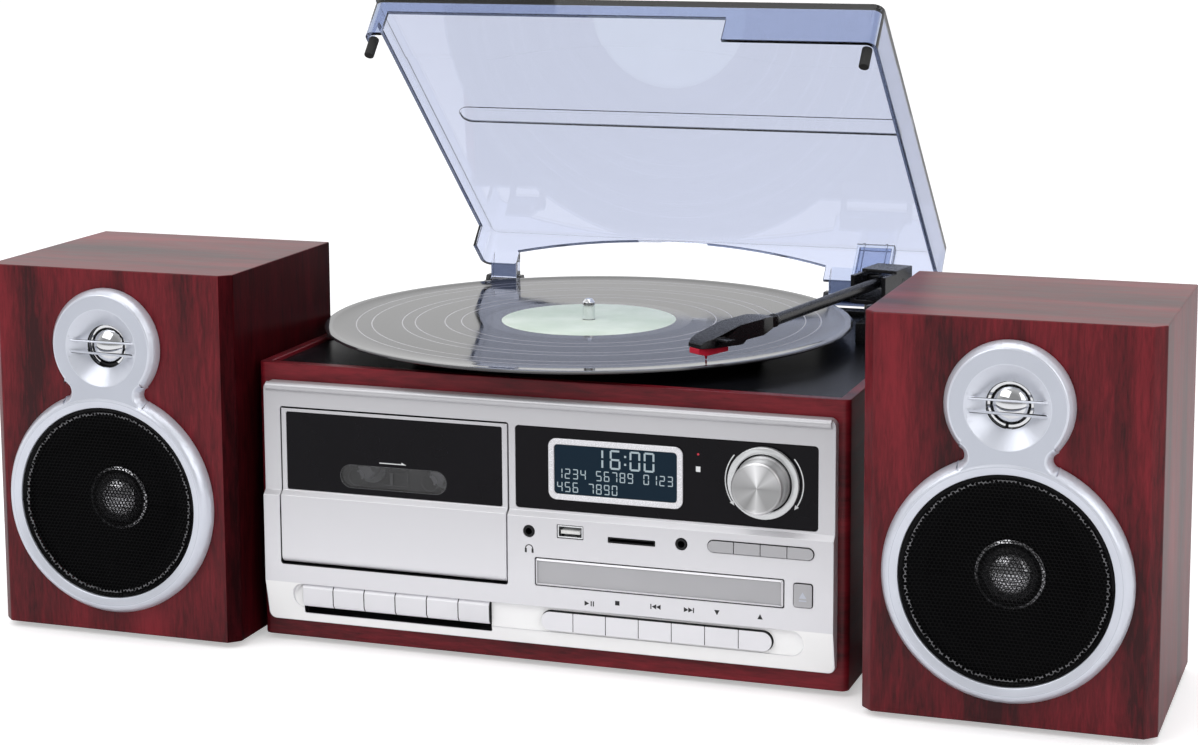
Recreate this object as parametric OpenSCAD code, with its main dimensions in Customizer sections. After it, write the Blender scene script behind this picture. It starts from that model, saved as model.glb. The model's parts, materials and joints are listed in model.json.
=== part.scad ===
// Stereo music centre: turntable, cassette, disc and radio unit with two speakers.
// Millimetres, +Z up, the floor at z = 0. Lengths of the main unit are laid out from
// the middle of the wooden front face; place() moves the whole set to the row origin.

/* [Clearances] */
// Gap between pieces that are seated on each other
seat = 0.1; // [0.02:0.01:0.25]
// Gap around moving pieces and beside fitted panels
gap = 0.3; // [0.1:0.05:0.6]
// Radial clearance of a shaft in its bore
run = 0.05; // [0.02:0.01:0.1]

/* [Cabinet] */
// Cabinet width
cab_w = 330; // [320:1:380]
// Cabinet depth
cab_d = 254; // [240:1:320]
// Height of the wooden box without its feet
cab_h = 152.6; // [140:0.1:180]
// Height of the feet
foot_h = 3; // [2:0.5:12]
// Radius of a foot
foot_r = 8; // [5:1:15]
// Board thickness of the cabinet
wall = 9; // [6:0.5:15]
// Width of the wooden rim around the deck
rim = 6; // [3:0.5:8]
// Radius of the cabinet's upright edges
cab_edge_r = 4; // [1:0.5:8]
// Depth of the deck below the wooden rim
deck_drop = 2; // [0.5:0.5:6]
// Deck plate thickness
deck_t = 3; // [2:0.5:5]
// Rear panel thickness
rear_t = 3; // [2:0.5:5]

/* [Front bezel] */
// Wood left free on each side of the bezel
bezel_side = 5.6; // [3:0.1:12]
// Lower edge of the bezel above the floor
bezel_z0 = 13.4; // [8:0.1:30]
// Height of the bezel
bezel_h = 132.9; // [110:0.1:140]
// Corner radius of the bezel
bezel_r = 4; // [2:0.5:15]
// How far the upper band stands out
bezel_upper = 6; // [4:0.5:9]
// How far the lower part stands out
bezel_lower = 9; // [6:0.5:12]
// How far the bottom edge stands out
bezel_toe = 4; // [2:0.5:8]
// Height of the ledge line across the front
ledge_z = 84; // [80:0.5:86]
// Height where the lower part starts to slope back
slope_z = 36; // [34:0.5:40]
// Radius of the half-round bead on top
bead_r = 2.4; // [1.5:0.1:3]
// Depth of the recessed channel below the ledge surface
channel_depth = 3.2; // [1:0.1:4]
// Lower edge of the recessed channel
channel_z = 21.6; // [19:0.1:22]
// Height of the recessed channel
channel_h = 14; // [12:0.1:15]

/* [Fascia and display] */
// Bezel left free beside the fascia and the cassette door
fascia_side = 9; // [8:0.1:12]
// Strip between the cassette door and the fascia
fascia_strip = 3.8; // [3:0.1:6]
// Lower edge of the black fascia
fascia_z = 87.8; // [86:0.1:92]
// Height of the black fascia
fascia_h = 44.2; // [38:0.1:48]
// Fascia thickness
fascia_t = 3.5; // [2:0.5:5]
// Middle of the display from the fascia's left edge
display_in = 55.6; // [48:0.1:60]
// Middle of the display above the floor
display_z = 110.3; // [105:0.1:115]
// Outer width of the display frame
display_w = 73.6; // [60:0.1:80]
// Outer height of the display frame
display_h = 32.8; // [26:0.1:38]
// Width of the display frame's border
display_rim = 3.2; // [2:0.1:5]
// Volume knob, middle from the fascia's right edge
knob_in = 28.4; // [24:0.1:34]
// Volume knob, middle above the floor
knob_z = 111.3; // [106:0.1:116]
// Radius of the volume knob
knob_r = 13.6; // [10:0.1:16]
// Length of the volume knob
knob_len = 15; // [8:0.5:25]
// Inner radius of the ring around the knob
ring_in = 15.2; // [14.5:0.1:17]
// Outer radius of the ring around the knob
ring_out = 18.8; // [17.5:0.1:20]
// Radius of the knob's shaft
shaft_r = 3; // [2:0.1:4]

/* [Cassette] */
// Left edge of the cassette door opening from the bezel's left edge
door_in = 9.8; // [9:0.1:12]
// Width of the cassette door opening
door_w = 132.4; // [130:0.1:134]
// Lower edge of the cassette door opening
door_z = 46; // [45:0.1:50]
// Height of the cassette door opening
door_h = 87; // [80:0.1:90]
// Gap around the cassette door and the front of the disc tray
door_gap = 0.7; // [0.4:0.05:0.9]
// Radius of the door's rounded lower edge around its hinge
door_hinge_r = 4.2; // [3:0.1:5]
// Radius of the door's hinge pins
door_pin_r = 1.5; // [1:0.1:2]
// Length of the door's hinge pins
door_pin_len = 4; // [2:0.5:6]
// Height of the smoky window above the door's lower edge
window_up = 41.6; // [40:0.1:44]
// Height of the smoky window
window_h = 42.6; // [36:0.1:44]
// Thickness of the smoky window
window_t = 2; // [1:0.1:3]
// Width of the clear pane in the window
pane_w = 62; // [56:0.5:66]
// Height of the clear pane in the window
pane_h = 13; // [10:0.5:15]
// How far the pane stands out, front and back
pane_t = 0.2; // [0.1:0.05:0.4]
// Distance between the two cassette hubs
hub_pitch = 42.5; // [40:0.1:44]
// Height of the hubs above the floor
hub_z = 97.3; // [92:0.1:101]
// Radius of a spool
spool_r = 5; // [3:0.1:7]
// Depth of the cassette bay behind the door
bay_d = 20; // [15:0.5:24]
// Number of piano keys
keys = 6; // [5:1:6]
// Left edge of the key opening from the door's left edge
key_in = 12; // [8:0.1:14]
// Width of the key opening
key_span = 109.6; // [100:0.1:112]
// Height of a key
key_h = 12.4; // [10:0.1:13]
// Travel of a key
key_travel = 4; // [2:0.5:5]

/* [Disc tray and buttons] */
// Left edge of the disc tray opening from the fascia's left edge
tray_in = 11.5; // [10:0.1:14]
// Width of the disc tray opening
tray_w = 135.6; // [134:0.1:137]
// Lower edge of the disc tray opening
tray_z = 47.1; // [46.5:0.1:48]
// Height of the disc tray opening
tray_h = 15.3; // [14:0.1:15.5]
// Depth of the sliding drawer
drawer_d = 132; // [128:1:140]
// Width of the sliding drawer
drawer_w = 125.6; // [124:0.1:127]
// Radius of the disc recess
disc_r = 60.4; // [60.2:0.1:61.5]
// Opening travel of the drawer
tray_travel = 118; // [100:1:125]
// Left edge of the control button slot from the fascia's left edge
ctrl_in = 14.2; // [12:0.1:18]
// Width of the control button slot
ctrl_w = 126.4; // [110:0.1:128]
// Lower edge of the control button slot
ctrl_z = 22.7; // [22.3:0.1:24]
// Height of the control button slot
ctrl_h = 10.8; // [9:0.1:11.5]
// Function button slot, right end from the fascia's right edge
func_in = 1.1; // [0:0.1:3]
// Width of the function button slot
func_w = 56.4; // [50:0.1:57]
// Lower edge of the function button slot
func_z = 73.3; // [72:0.1:74]
// Height of the function button slot
func_h = 6.6; // [5:0.1:8]
// Gap between the disc tray and the eject button
eject_gap = 4.8; // [3:0.1:6]
// Width of the eject button opening
eject_w = 10.2; // [8:0.1:12]
// Lower edge of the eject button opening
eject_z = 48.4; // [47:0.1:50]
// Height of the eject button opening
eject_h = 12.8; // [10:0.1:14]
// Travel of a push button
press = 1; // [0.5:0.1:1.5]
// Headphone socket, middle from the fascia's left edge
phones_in = 8.4; // [5:0.1:11]
// Aux socket, middle before the function buttons
aux_gap = 14.1; // [10:0.1:18]
// Height of the round sockets above the floor
jack_z = 76.2; // [74:0.1:79]
// USB socket, middle from the fascia's left edge
usb_in = 31.3; // [28:0.1:34]
// USB socket, middle above the floor
usb_z = 77.4; // [76:0.1:79]
// Bore radius of the round sockets
jack_r = 1.8; // [1.75:0.05:1.9]

/* [Turntable] */
// Spindle from the unit's middle, along X
lp_x = -21.2; // [-30:0.1:-15]
// Spindle behind the cabinet's front face
lp_y = 133.3; // [128:0.1:138]
// Radius of the record
lp_r = 150.8; // [150.8:0.1:150.8]
// Thickness of the record
lp_t = 1.6; // [1.2:0.1:2]
// Upper surface of the record above the wooden rim
lp_up = 7.9; // [7:0.1:10]
// Radius of the record's centre hole
lp_hole_r = 3.62; // [3.6:0.01:3.7]
// Radius of the spindle's free end
spindle_r = 3.55; // [3.5:0.01:3.58]
// Length of the spindle above the record
spindle_up = 12; // [6:0.5:15]
// Radius of the platter
platter_r = 100; // [95:1:101]
// Thickness of the platter's plate
platter_t = 3; // [2:0.5:4]
// Depth of the platter's rim
platter_rim = 9; // [5:0.5:10]
// Thickness of the platter mat
mat_t = 0.9; // [0.5:0.1:2]
// Radius of the round well in the deck
well_r = 104; // [102:1:105]
// Depth of the round well in the deck
well_d = 4; // [3:0.5:6]
// Radius of the motor under the deck
motor_r = 22; // [15:1:30]
// Length of the motor
motor_h = 30; // [20:1:40]

/* [Tonearm] */
// Tonearm pivot from the unit's middle, along X
arm_x = 131; // [128:0.1:134]
// Tonearm pivot behind the cabinet's front face
arm_y = 226; // [222:0.1:229]
// Height of the arm tube above the record
arm_up = 15.5; // [14.5:0.1:16.5]
// Radius of the arm tube
tube_r = 3.2; // [2:0.1:4]
// Distance of the stylus from the pivot
arm_reach = 192.4; // [188:0.1:196]
// Length of the straight arm tube
tube_len = 149; // [140:1:155]
// Direction of the tube, from straight ahead
tube_angle = -10.8; // [-15:0.1:-5]
// Direction of the headshell, from straight ahead
head_angle = -34.6; // [-40:0.1:-30]
// Distance of the stylus from the tube's front end
head_reach = 46.4; // [40:0.1:50]
// Radius of the arm's vertical shaft
post_r = 4; // [3:0.5:6]
// Radius of the arm's level pins
pin_r = 1.5; // [1:0.1:2]
// Height of the arm base above the deck
arm_base_h = 14.4; // [12:0.1:16]
// Half the width of the headshell
head_half = 8.4; // [7:0.1:9]
// Length of the stylus holder
holder_len = 20; // [14:0.5:22]

/* [Lid] */
// Left edge of the lid
lid_x = -137; // [-140:0.5:-135]
// Lid width
lid_w = 294; // [290:0.5:296]
// Front of the closed lid behind the cabinet's front face
lid_y = 16; // [14:0.5:20]
// Lid depth
lid_d = 238; // [230:0.5:240]
// Top of the closed lid above the deck
lid_up = 38.4; // [37:0.1:45]
// Lid wall thickness
lid_t = 2.5; // [2:0.1:4]
// Depth of the deep skirt
skirt_deep = 26; // [22:0.5:27]
// Depth of the shallow skirt over the record
skirt_low = 11; // [9:0.5:14]
// Opening angle in the rest pose
lid_angle = 42; // [30:1:60]
// Hinge pins behind the lid's rear face
hinge_back = 8; // [6:0.5:10]
// Height of the hinge pins above the deck
hinge_up = 6.4; // [6:0.1:8]
// Radius of the hinge pins
hinge_pin_r = 2; // [1.5:0.1:2.5]
// Radius of the knuckles on the lid's legs
knuckle_r = 4.5; // [4:0.1:5]
// Radius of the rubber bumpers
bumper_r = 2.8; // [2:0.1:4]
// Width of the right leg
leg_w = 38; // [25:0.5:39]
// Middle of the embossed rib behind the cabinet's front face
rib_y = 126; // [118:0.5:136]
// Width of the embossed rib
rib_w = 14; // [8:0.5:18]
// Height of the embossed rib
rib_t = 1; // [0.5:0.1:1.4]
// Radius of the arch in the rear skirt
arch_r = 404; // [400:1:450]
// Depth of the thicker band along the lid's front
band_d = 53; // [48:0.5:60]
// Radius of the arc that clears the middle of the band
band_r = 260; // [250:1:262]
// Width of the pocket on the rear skirt
pocket_w = 23; // [16:0.5:24]
// Depth of the pocket
pocket_d = 5.5; // [4:0.1:6]

/* [Inside] */
// Free space between the chassis and the cabinet's side walls
chassis_side = 10; // [5:1:20]
// Thickness of the chassis plate
chassis_t = 1.5; // [1:0.1:3]
// Left edge of the main board from the unit's middle
board_left = -58; // [-70:1:-50]
// Width of the main board
board_w = 146; // [120:1:160]
// Depth of the main board
board_d = 92; // [70:1:100]
// Height of the posts under the main board
board_up = 10.4; // [6:0.1:15]
// Height of the row of rear sockets
socket_h = 22; // [18:0.5:26]
// Width of the transformer
core_w = 56; // [40:1:70]
// Depth of the transformer's core
core_d = 50; // [35:1:60]
// Height of the transformer
core_h = 46; // [30:1:60]

/* [Speakers] */
// Gap between the cabinet and the left speaker
speaker_gap_l = 4.5; // [1:0.1:60]
// Gap between the cabinet and the right speaker
speaker_gap_r = 11.8; // [1:0.1:60]
// Speaker front before the cabinet's front face
speaker_fwd = 24.5; // [0:0.5:40]
// Speaker width
spk_w = 147; // [130:0.5:180]
// Speaker height without feet
spk_h = 203; // [180:0.5:240]
// Speaker depth
spk_d = 128; // [110:0.5:160]
// Chamfer on the speaker's front upright edges
spk_cham = 5.8; // [2:0.1:10]
// Board thickness of the speakers
spk_wall = 9; // [6:0.5:15]
// Height of the woofer's middle above the floor
woofer_z = 77.8; // [70:0.1:85]
// Distance between the middles of woofer and tweeter
driver_pitch = 86.4; // [85:0.1:95]
// Outer radius of the trim around the woofer
trim_woofer_r = 62; // [57:0.5:62]
// Outer radius of the trim around the tweeter
trim_tweeter_r = 32; // [29:0.5:33]
// Radius of the fillets between the two rings of the trim
waist_r = 4; // [4:0.5:7]
// Slope on the outer edge of the trim
trim_slope = 2.5; // [1.5:0.1:3]
// Radius of the throat in front of the tweeter
throat_r = 11.5; // [11:0.1:14]
// Outer radius of the tweeter's dish
dish_r = 21; // [19:0.1:22]
// Radius of the woofer grille
grille_r = 53; // [50:0.5:54]
// How far the trim stands out
trim_t = 9; // [6:0.5:12]
// Radius of the woofer's mounting hole
woofer_r = 46; // [40:0.5:48]
// Radius of the woofer's dust cap
dust_r = 14; // [10:0.5:18]
// Radius of the woofer's magnet
magnet_r = 36; // [25:0.5:40]
// Height of the tweeter's dome
dome_h = 4.6; // [3:0.1:4.8]
// Depth of the woofer behind the baffle
woofer_d = 44; // [30:0.5:60]
// Radius of the tweeter's horn at its throat
tweeter_r = 19; // [15:0.5:21]
// Radius of the tweeter's dome
dome_r = 10; // [8:0.5:12]
// Depth of the tweeter behind the baffle
tweeter_d = 24; // [15:0.5:35]
// Width of the speaker's terminal plate
term_w = 58; // [40:0.5:80]
// Height of the speaker's terminal plate
term_h = 34; // [24:0.5:50]

/* [Hidden] */
$fn = 96;
eps = 0.01;
unit_x = (speaker_gap_l - speaker_gap_r)/2;
unit_y = (speaker_fwd + trim_t - lp_y - lp_r)/2;
speaker_x = cab_w/2 + (speaker_gap_l + speaker_gap_r)/2 + spk_w/2;
bezel_w = cab_w - 2*bezel_side;
door_x = -bezel_w/2 + door_in;
fascia_x = door_x + door_w + fascia_strip;
fascia_w = bezel_w/2 - fascia_side - fascia_x;
display_x = fascia_x + display_in;
knob_x = fascia_x + fascia_w - knob_in;
key_x = door_x + key_in;
tray_x = fascia_x + tray_in;
ctrl_x = fascia_x + ctrl_in;
func_x = fascia_x + fascia_w - func_in - func_w;
eject_x = tray_x + tray_w + eject_gap;
phones_x = fascia_x + phones_in;
aux_x = func_x - aux_gap;
usb_x = fascia_x + usb_in;
card_x = aux_x - 27.1;
tweeter_z = woofer_z + driver_pitch;
box_top = foot_h + cab_h;
deck_z = box_top - deck_drop;
deck_under = deck_z - deck_t;
floor_z = foot_h + wall;
inner_w = cab_w - 2*wall;
opening_w = bezel_w - 14.8;
opening_z0 = bezel_z0 + 3.8;
opening_z1 = bezel_z0 + bezel_h - 5.3;
bezel_z1 = bezel_z0 + bezel_h;
lp_z = box_top + lp_up;
mat_z = lp_z - lp_t - mat_t - seat/2;
platter_z = mat_z - seat/2;
well_z = deck_z - well_d;
flange_z = platter_z - platter_t - 6;
root_r = spindle_r + 0.45;
neck_r = spindle_r - 0.35;
board_y = wall + seat;
board_t = 1.6;
door_pin_y = -(bezel_lower - door_hinge_r);
door_pin_z = door_z + 0.8 + door_hinge_r;
hub_x = door_x + door_w/2;
key_w = key_span/keys;
key_z = channel_z + channel_h - gap - key_h;
shelf_z = key_z - key_travel - 0.4;
drawer_z = tray_z + 2.4;
drawer_h = 4.5;
arm_z = lp_z + arm_up;
arm_top = deck_z + arm_base_h;
hinge_y = lid_y + lid_d + hinge_back;
hinge_z = deck_z + hinge_up;
lid_top = deck_z + lid_up;
legs = [[lid_x + 6, 17], [lid_x + 225, leg_w]];
pocket_x = lid_x + 240;
ear_t = 2.8;
head_under = -8.6;
foot_x = cab_w/2 - 25;
feet_at = [[-foot_x, 20], [foot_x, 20], [-foot_x, cab_d - 20], [foot_x, cab_d - 20]];
spk_foot_x = spk_w/2 - 20;
disc_y = 66;
switch_h = 6;
arm_rest = [arm_x + 7.5, arm_y - 66];

// ---- shared shapes

module place() {
    translate([unit_x, unit_y, 0]) children();
}

// Rounded rectangle from squares and circles, centred
module rounded(w, h, r) {
    square([w - 2*r, h], center = true);
    square([w, h - 2*r], center = true);
    for (sx = [-1, 1], sy = [-1, 1])
        translate([sx*(w/2 - r), sy*(h/2 - r)]) circle(r = r);
}

// Upright plate seen from the front: left, bottom, width, height, front y, back y, radius
module panel(x, z, w, h, y0, y1, r = 0) {
    translate([x + w/2, y1, z + h/2]) rotate([90, 0, 0])
        linear_extrude(y1 - y0)
            if (r > 0) rounded(w, h, r);
            else square([w, h], center = true);
}

// Side profile (points as [y, z]) run along X from x0
module profile(x0, len, pts) {
    translate([x0, 0, 0]) rotate([90, 0, 90]) linear_extrude(len) polygon(pts);
}

module block(x0, x1, y0, y1, z0, z1) {
    translate([x0, y0, z0]) cube([x1 - x0, y1 - y0, z1 - z0]);
}

// Cylinder along Y from y0 back to y1
module along_y(x, z, y0, y1, r) {
    translate([x, y1, z]) rotate([90, 0, 0]) cylinder(r = r, h = y1 - y0);
}

// Cylinder along X from x0 to x1
module along_x(y, z, x0, x1, r) {
    translate([x0, y, z]) rotate([0, 90, 0]) cylinder(r = r, h = x1 - x0);
}

// ---- cabinet

module cabinet_shell() {
    color("#5a2318") place() difference() {
        translate([0, cab_d/2, foot_h]) linear_extrude(cab_h)
            rounded(cab_w, cab_d, cab_edge_r);
        block(-inner_w/2, inner_w/2, wall, cab_d + 1, floor_z, box_top + 1);
        block(-cab_w/2 + rim, cab_w/2 - rim, rim, cab_d + 1, deck_under - seat, box_top + 1);
        block(-cab_w/2 + rim, cab_w/2 - rim, cab_d - rear_t - gap, cab_d + 1,
              foot_h + rim, box_top + 1);
        panel(-opening_w/2, opening_z0, opening_w, opening_z1 - opening_z0, -1, wall + 1);
    }
}

module rear_panel() {
    half = cab_w/2 - rim - gap/2;
    color("#1b1b1d") place() difference() {
        block(-half, half, cab_d - rear_t, cab_d - seat, foot_h + rim + seat,
              deck_under - seat);
        block(board_left - 1, board_left + board_w + 1, cab_d - rear_t - 1, cab_d + 1,
              floor_z + board_up + 2.5, floor_z + board_up + socket_h + 5);
        for (i = [0:11])
            block(-120 + i*8, -116 + i*8, cab_d - rear_t - 1, cab_d + 1, 90, 120);
    }
}

module deck_plate() {
    half = cab_w/2 - rim - gap/2;
    color("#0d0d10") place() difference() {
        union() {
            block(-half, half, rim + gap, cab_d - gap, deck_under, deck_z);
            translate([lp_x, lp_y, well_z - deck_t])
                cylinder(r = well_r + deck_t, h = well_d + deck_t);
        }
        translate([lp_x, lp_y, well_z]) cylinder(r = well_r, h = well_d + 1);
        translate([lp_x, lp_y, well_z - deck_t - 1]) cylinder(r = 9.2, h = 10);
    }
}

module feet() {
    color("#141414") {
        place() for (p = feet_at)
            translate([p[0], p[1], 0]) cylinder(r = foot_r, h = foot_h - seat);
        for (s = [-1, 1], fx = [-1, 1], fy = [18, spk_d - 18])
            translate([s*speaker_x + fx*spk_foot_x, unit_y - speaker_fwd + fy, 0])
                cylinder(r = foot_r, h = foot_h - seat);
    }
}

// ---- front bezel and its openings

module bezel_openings() {
    panel(door_x, door_z, door_w, door_h, -20, 1, 1.5);
    along_x(door_pin_y, door_pin_z, door_x - door_pin_len - gap,
            door_x + door_w + door_pin_len + gap, door_pin_r + run);
    panel(fascia_x, fascia_z, fascia_w, fascia_h, -20, 1, 2);
    panel(tray_x, tray_z, tray_w, tray_h, -20, 1, 1);
    panel(eject_x, eject_z, eject_w, eject_h, -20, 1, 1.5);
    panel(ctrl_x, ctrl_z, ctrl_w, ctrl_h, -20, 1, ctrl_h/2 - eps);
    panel(func_x, func_z, func_w, func_h, -20, 1, func_h/2 - eps);
    panel(key_x, shelf_z, key_span, key_z + key_h + gap - shelf_z, -20, 1, 1);
    panel(-bezel_w/2 + 16, channel_z, bezel_w - 32, channel_h, -20, -bezel_lower + channel_depth,
          channel_h/2 - eps);
    for (x = [phones_x, aux_x]) along_y(x, jack_z, -20, 1, 3.2);
    panel(usb_x - 7.3, usb_z - 3.6, 14.6, 7.2, -20, 1, 0.5);
    panel(card_x - 12.9, jack_z - 2.6, 25.8, 3, -20, 1, 0.5);
}

module front_bezel() {
    pts = [
        [-seat, bezel_z0], [-bezel_toe, bezel_z0], [-bezel_lower, slope_z],
        [-bezel_lower, ledge_z], [-bezel_upper, ledge_z + 2.6], [-bezel_upper, bezel_z1],
        [-seat, bezel_z1]
    ];
    color("#b9bcc0") place() difference() {
        union() {
            intersection() {
                profile(-bezel_w/2, bezel_w, pts);
                panel(-bezel_w/2, bezel_z0, bezel_w, bezel_h, -20, 0, bezel_r);
            }
            along_x(-bezel_upper, bezel_z1 - bead_r, -bezel_w/2 + bezel_r/2,
                    bezel_w/2 - bezel_r/2, bead_r);
        }
        bezel_openings();
    }
    color("#b9bcc0") place()
        block(key_x - 2, key_x + key_span + 2, -2, 11.5, opening_z0 + seat, shelf_z);
}

module fascia_panel() {
    color("#08080a") place() difference() {
        panel(fascia_x + gap/2, fascia_z + gap/2, fascia_w - gap, fascia_h - gap,
              -bezel_upper + 0.4, -bezel_upper + 0.4 + fascia_t, 2);
        panel(display_x - display_w/2 + display_rim, display_z - display_h/2 + display_rim,
              display_w - 2*display_rim, display_h - 2*display_rim, -20, 1, 2);
        along_y(knob_x, knob_z, -20, 1, 6.6);
    }
}

module display_frame() {
    face = -bezel_upper + 0.4 - seat;
    color("#c4c7ca") place() difference() {
        panel(display_x - display_w/2, display_z - display_h/2, display_w, display_h,
              face - 1.6, face, 4.5);
        panel(display_x - display_w/2 + display_rim, display_z - display_h/2 + display_rim,
              display_w - 2*display_rim, display_h - 2*display_rim, -20, 1, 2);
    }
}

module display_module() {
    inset = display_rim + gap/2;
    color("#12305c") place()
        panel(display_x - display_w/2 + inset, display_z - display_h/2 + inset,
              display_w - 2*inset, display_h - 2*inset, -bezel_upper - 0.2,
              board_y - seat, 1.8);
}

module knob_ring() {
    face = -bezel_upper + 0.4 - seat;
    color("#c9ccd0") place() difference() {
        along_y(knob_x, knob_z, face - 3, face, ring_out);
        along_y(knob_x, knob_z, face - 4, face + 1, ring_in);
    }
}

module volume_knob() {
    face = -bezel_upper + 0.4 - 0.8;
    color("#d4d6d8") place() {
        translate([knob_x, face, knob_z]) rotate([90, 0, 0]) rotate_extrude()
            polygon([[0, 0], [knob_r + 0.8, 0], [knob_r + 0.8, 3], [knob_r, 4],
                     [knob_r, knob_len - 1.2], [knob_r - 1.2, knob_len],
                     [knob_r - 3, knob_len - 0.8], [0, knob_len - 1.6]]);
        along_y(knob_x, knob_z, face - 1, 5, shaft_r);
    }
}

module front_board() {
    color("#2a5a33") place() {
        difference() {
            block(fascia_x + 1.4, opening_w/2 + 3.4, board_y, board_y + board_t, opening_z0 - 4.5,
                  opening_z1 - 2);
            block(tray_x - 5.6, tray_x + tray_w + 5.6, 0, 20, tray_z - 5, tray_z + 20.5);
        }
        difference() {
            along_y(knob_x, knob_z, -3, board_y, 6);
            along_y(knob_x, knob_z, -4, 5 + gap, shaft_r + run);
        }
        for (x = [phones_x, aux_x]) difference() {
            union() {
                along_y(x, jack_z, -bezel_lower - 0.3, board_y, 2.9);
                block(x - 4.5, x + 4.5, 1, board_y, jack_z - 3.5, jack_z + 5);
            }
            along_y(x, jack_z, -bezel_lower - 1, 6, jack_r);
        }
        difference() {
            block(usb_x - 7, usb_x + 7, -bezel_lower + 0.4, board_y, usb_z - 3.3, usb_z + 3.3);
            block(usb_x - 6.3, usb_x + 6.3, -bezel_lower - 1, 4, usb_z - 2.6, usb_z + 2.6);
        }
        difference() {
            block(card_x - 12.6, card_x + 12.6, -bezel_lower + 0.4, board_y, jack_z - 2.3,
                  jack_z + 0.1);
            block(card_x - 12.1, card_x + 12.1, -bezel_lower - 1, 6, jack_z - 1.9,
                  jack_z - 0.4);
        }
        for (i = [0:6]) {
            x = ctrl_x + (i + 0.5)*ctrl_w/7;
            block(x - 3, x + 3, board_y - switch_h, board_y, ctrl_z + 2.4, ctrl_z + 8.4);
        }
        for (i = [0:3]) {
            x = func_x + (i + 0.5)*func_w/4;
            block(x - 3, x + 3, board_y - switch_h, board_y, func_z, func_z + 6);
        }
        block(eject_x + 2, eject_x + 8, board_y - switch_h, board_y, eject_z + 3,
              eject_z + 9);
    }
}

// ---- cassette section

module cassette_door() {
    x0 = door_x + door_gap;
    w = door_w - 2*door_gap;
    top = door_z + door_h - door_gap;
    up = -bezel_upper - 0.2;
    color("#b4b7bb") place() {
        difference() {
            union() {
                profile(x0, w, [[-bezel_lower, door_pin_z], [-bezel_lower, ledge_z + 0.4],
                                [up, ledge_z + 3], [up, top], [-1.6, top],
                                [-1.6, door_pin_z]]);
                along_x(door_pin_y, door_pin_z, x0, x0 + w, door_hinge_r);
            }
            panel(x0 + 3, door_z + window_up - gap/2, w - 6, window_h + gap,
                  -20, up + window_t + 0.3, 1);
            panel(hub_x - pane_w/2, hub_z - pane_h/2, pane_w, pane_h, -20, 1, pane_h/2 - 0.1);
        }
        along_x(door_pin_y, door_pin_z, x0 - door_pin_len, x0 + 1, door_pin_r);
        along_x(door_pin_y, door_pin_z, x0 + w - 1, x0 + w + door_pin_len, door_pin_r);
        for (x = [hub_x - 54.2, hub_x + 51.8]) {
            block(x, x + 2.4, -1.7, 12, 60, 124);
            block(x - (x < hub_x ? 0 : 3), x + (x < hub_x ? 5.4 : 2.4), -1.7, 12, 60, 62.4);
        }
    }
}

module window_pane(y0, y1) {
    panel(hub_x - pane_w/2 + 0.5, hub_z - pane_h/2 + 0.5, pane_w - 1, pane_h - 1, y0, y1,
          pane_h/2 - 0.6);
}

module cassette_window() {
    x0 = door_x + door_gap + 3;
    up = -bezel_upper - 0.2;
    back = up + window_t + 0.2;
    color("#0a0a0c") place() difference() {
        union() {
            panel(x0 + gap/2, door_z + window_up, door_w - 2*door_gap - 6 - gap, window_h,
                  up, back, 1);
            window_pane(up - pane_t, up + 1);
        }
        window_pane(back - pane_t, back + 1);
    }
}

module spool_bores() {
    for (s = [-1, 1])
        along_y(hub_x + s*hub_pitch/2, hub_z, 17, 30, 2 + run);
}

module cassette_bay() {
    x0 = door_x - 1.9;
    x1 = door_x + door_w + 1.4;
    z0 = door_z - 6;
    z1 = opening_z1 - 0.6;
    color("#4a4c50") place() difference() {
        union() {
            block(x0, x1, 0, bay_d, z0, z1);
            block(key_x - 3, key_x + key_span + 3, 12, 15, opening_z0 - 3, z0 + 1);
        }
        block(x0 + 2, x1 - 2, -1, bay_d - 2, z0 + 2, z1 - 2);
        spool_bores();
        for (i = [0:keys - 1])
            block(key_x + (i + 0.5)*key_w - 4 - gap, key_x + (i + 0.5)*key_w + 4 + gap,
                  11, 16, key_z + 2 - key_travel - gap, key_z + 7 + gap);
    }
}

module cassette_mechanism() {
    color("#4a4c50") place() difference() {
        block(hub_x - 40, hub_x + 40, bay_d + seat, bay_d + 28, door_z + 8, opening_z1 - 10.6);
        spool_bores();
    }
}

module spool(side) {
    x = hub_x + side*hub_pitch/2;
    color("#e8e8e8") place() {
        along_y(x, hub_z, 17.7, 29.7, 2);
        along_y(x, hub_z, 6, 17.7, spool_r - 1.2);
        along_y(x, hub_z, 14, 17.7, spool_r + 3);
        for (a = [0:60:300])
            translate([x, 10, hub_z]) rotate([0, a, 0]) translate([spool_r - 1.8, -4, -0.6])
                cube([1.8, 8, 1.2]);
    }
}

module left_spool() { spool(-1); }
module right_spool() { spool(1); }

module cassette_key(i) {
    x0 = key_x + i*key_w + gap;
    w = key_w - gap - (i == keys - 1 ? gap : 0);
    mid = key_x + (i + 0.5)*key_w;
    color("#b9bcc0") place() {
        profile(x0, w, [[-bezel_lower + 0.6, key_z + 2.2], [-bezel_lower + 0.4, key_z + key_h - 2],
                        [-bezel_lower + 2, key_z + key_h], [-1, key_z + key_h],
                        [-1, key_z], [-bezel_lower + 2, key_z]]);
        block(mid - 4, mid + 4, -1.5, 18, key_z + 2, key_z + 7);
    }
}

module cassette_key_1() { cassette_key(0); }
module cassette_key_2() { cassette_key(1); }
module cassette_key_3() { cassette_key(2); }
module cassette_key_4() { cassette_key(3); }
module cassette_key_5() { cassette_key(4); }
module cassette_key_6() { cassette_key(5); }

// ---- push buttons

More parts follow.
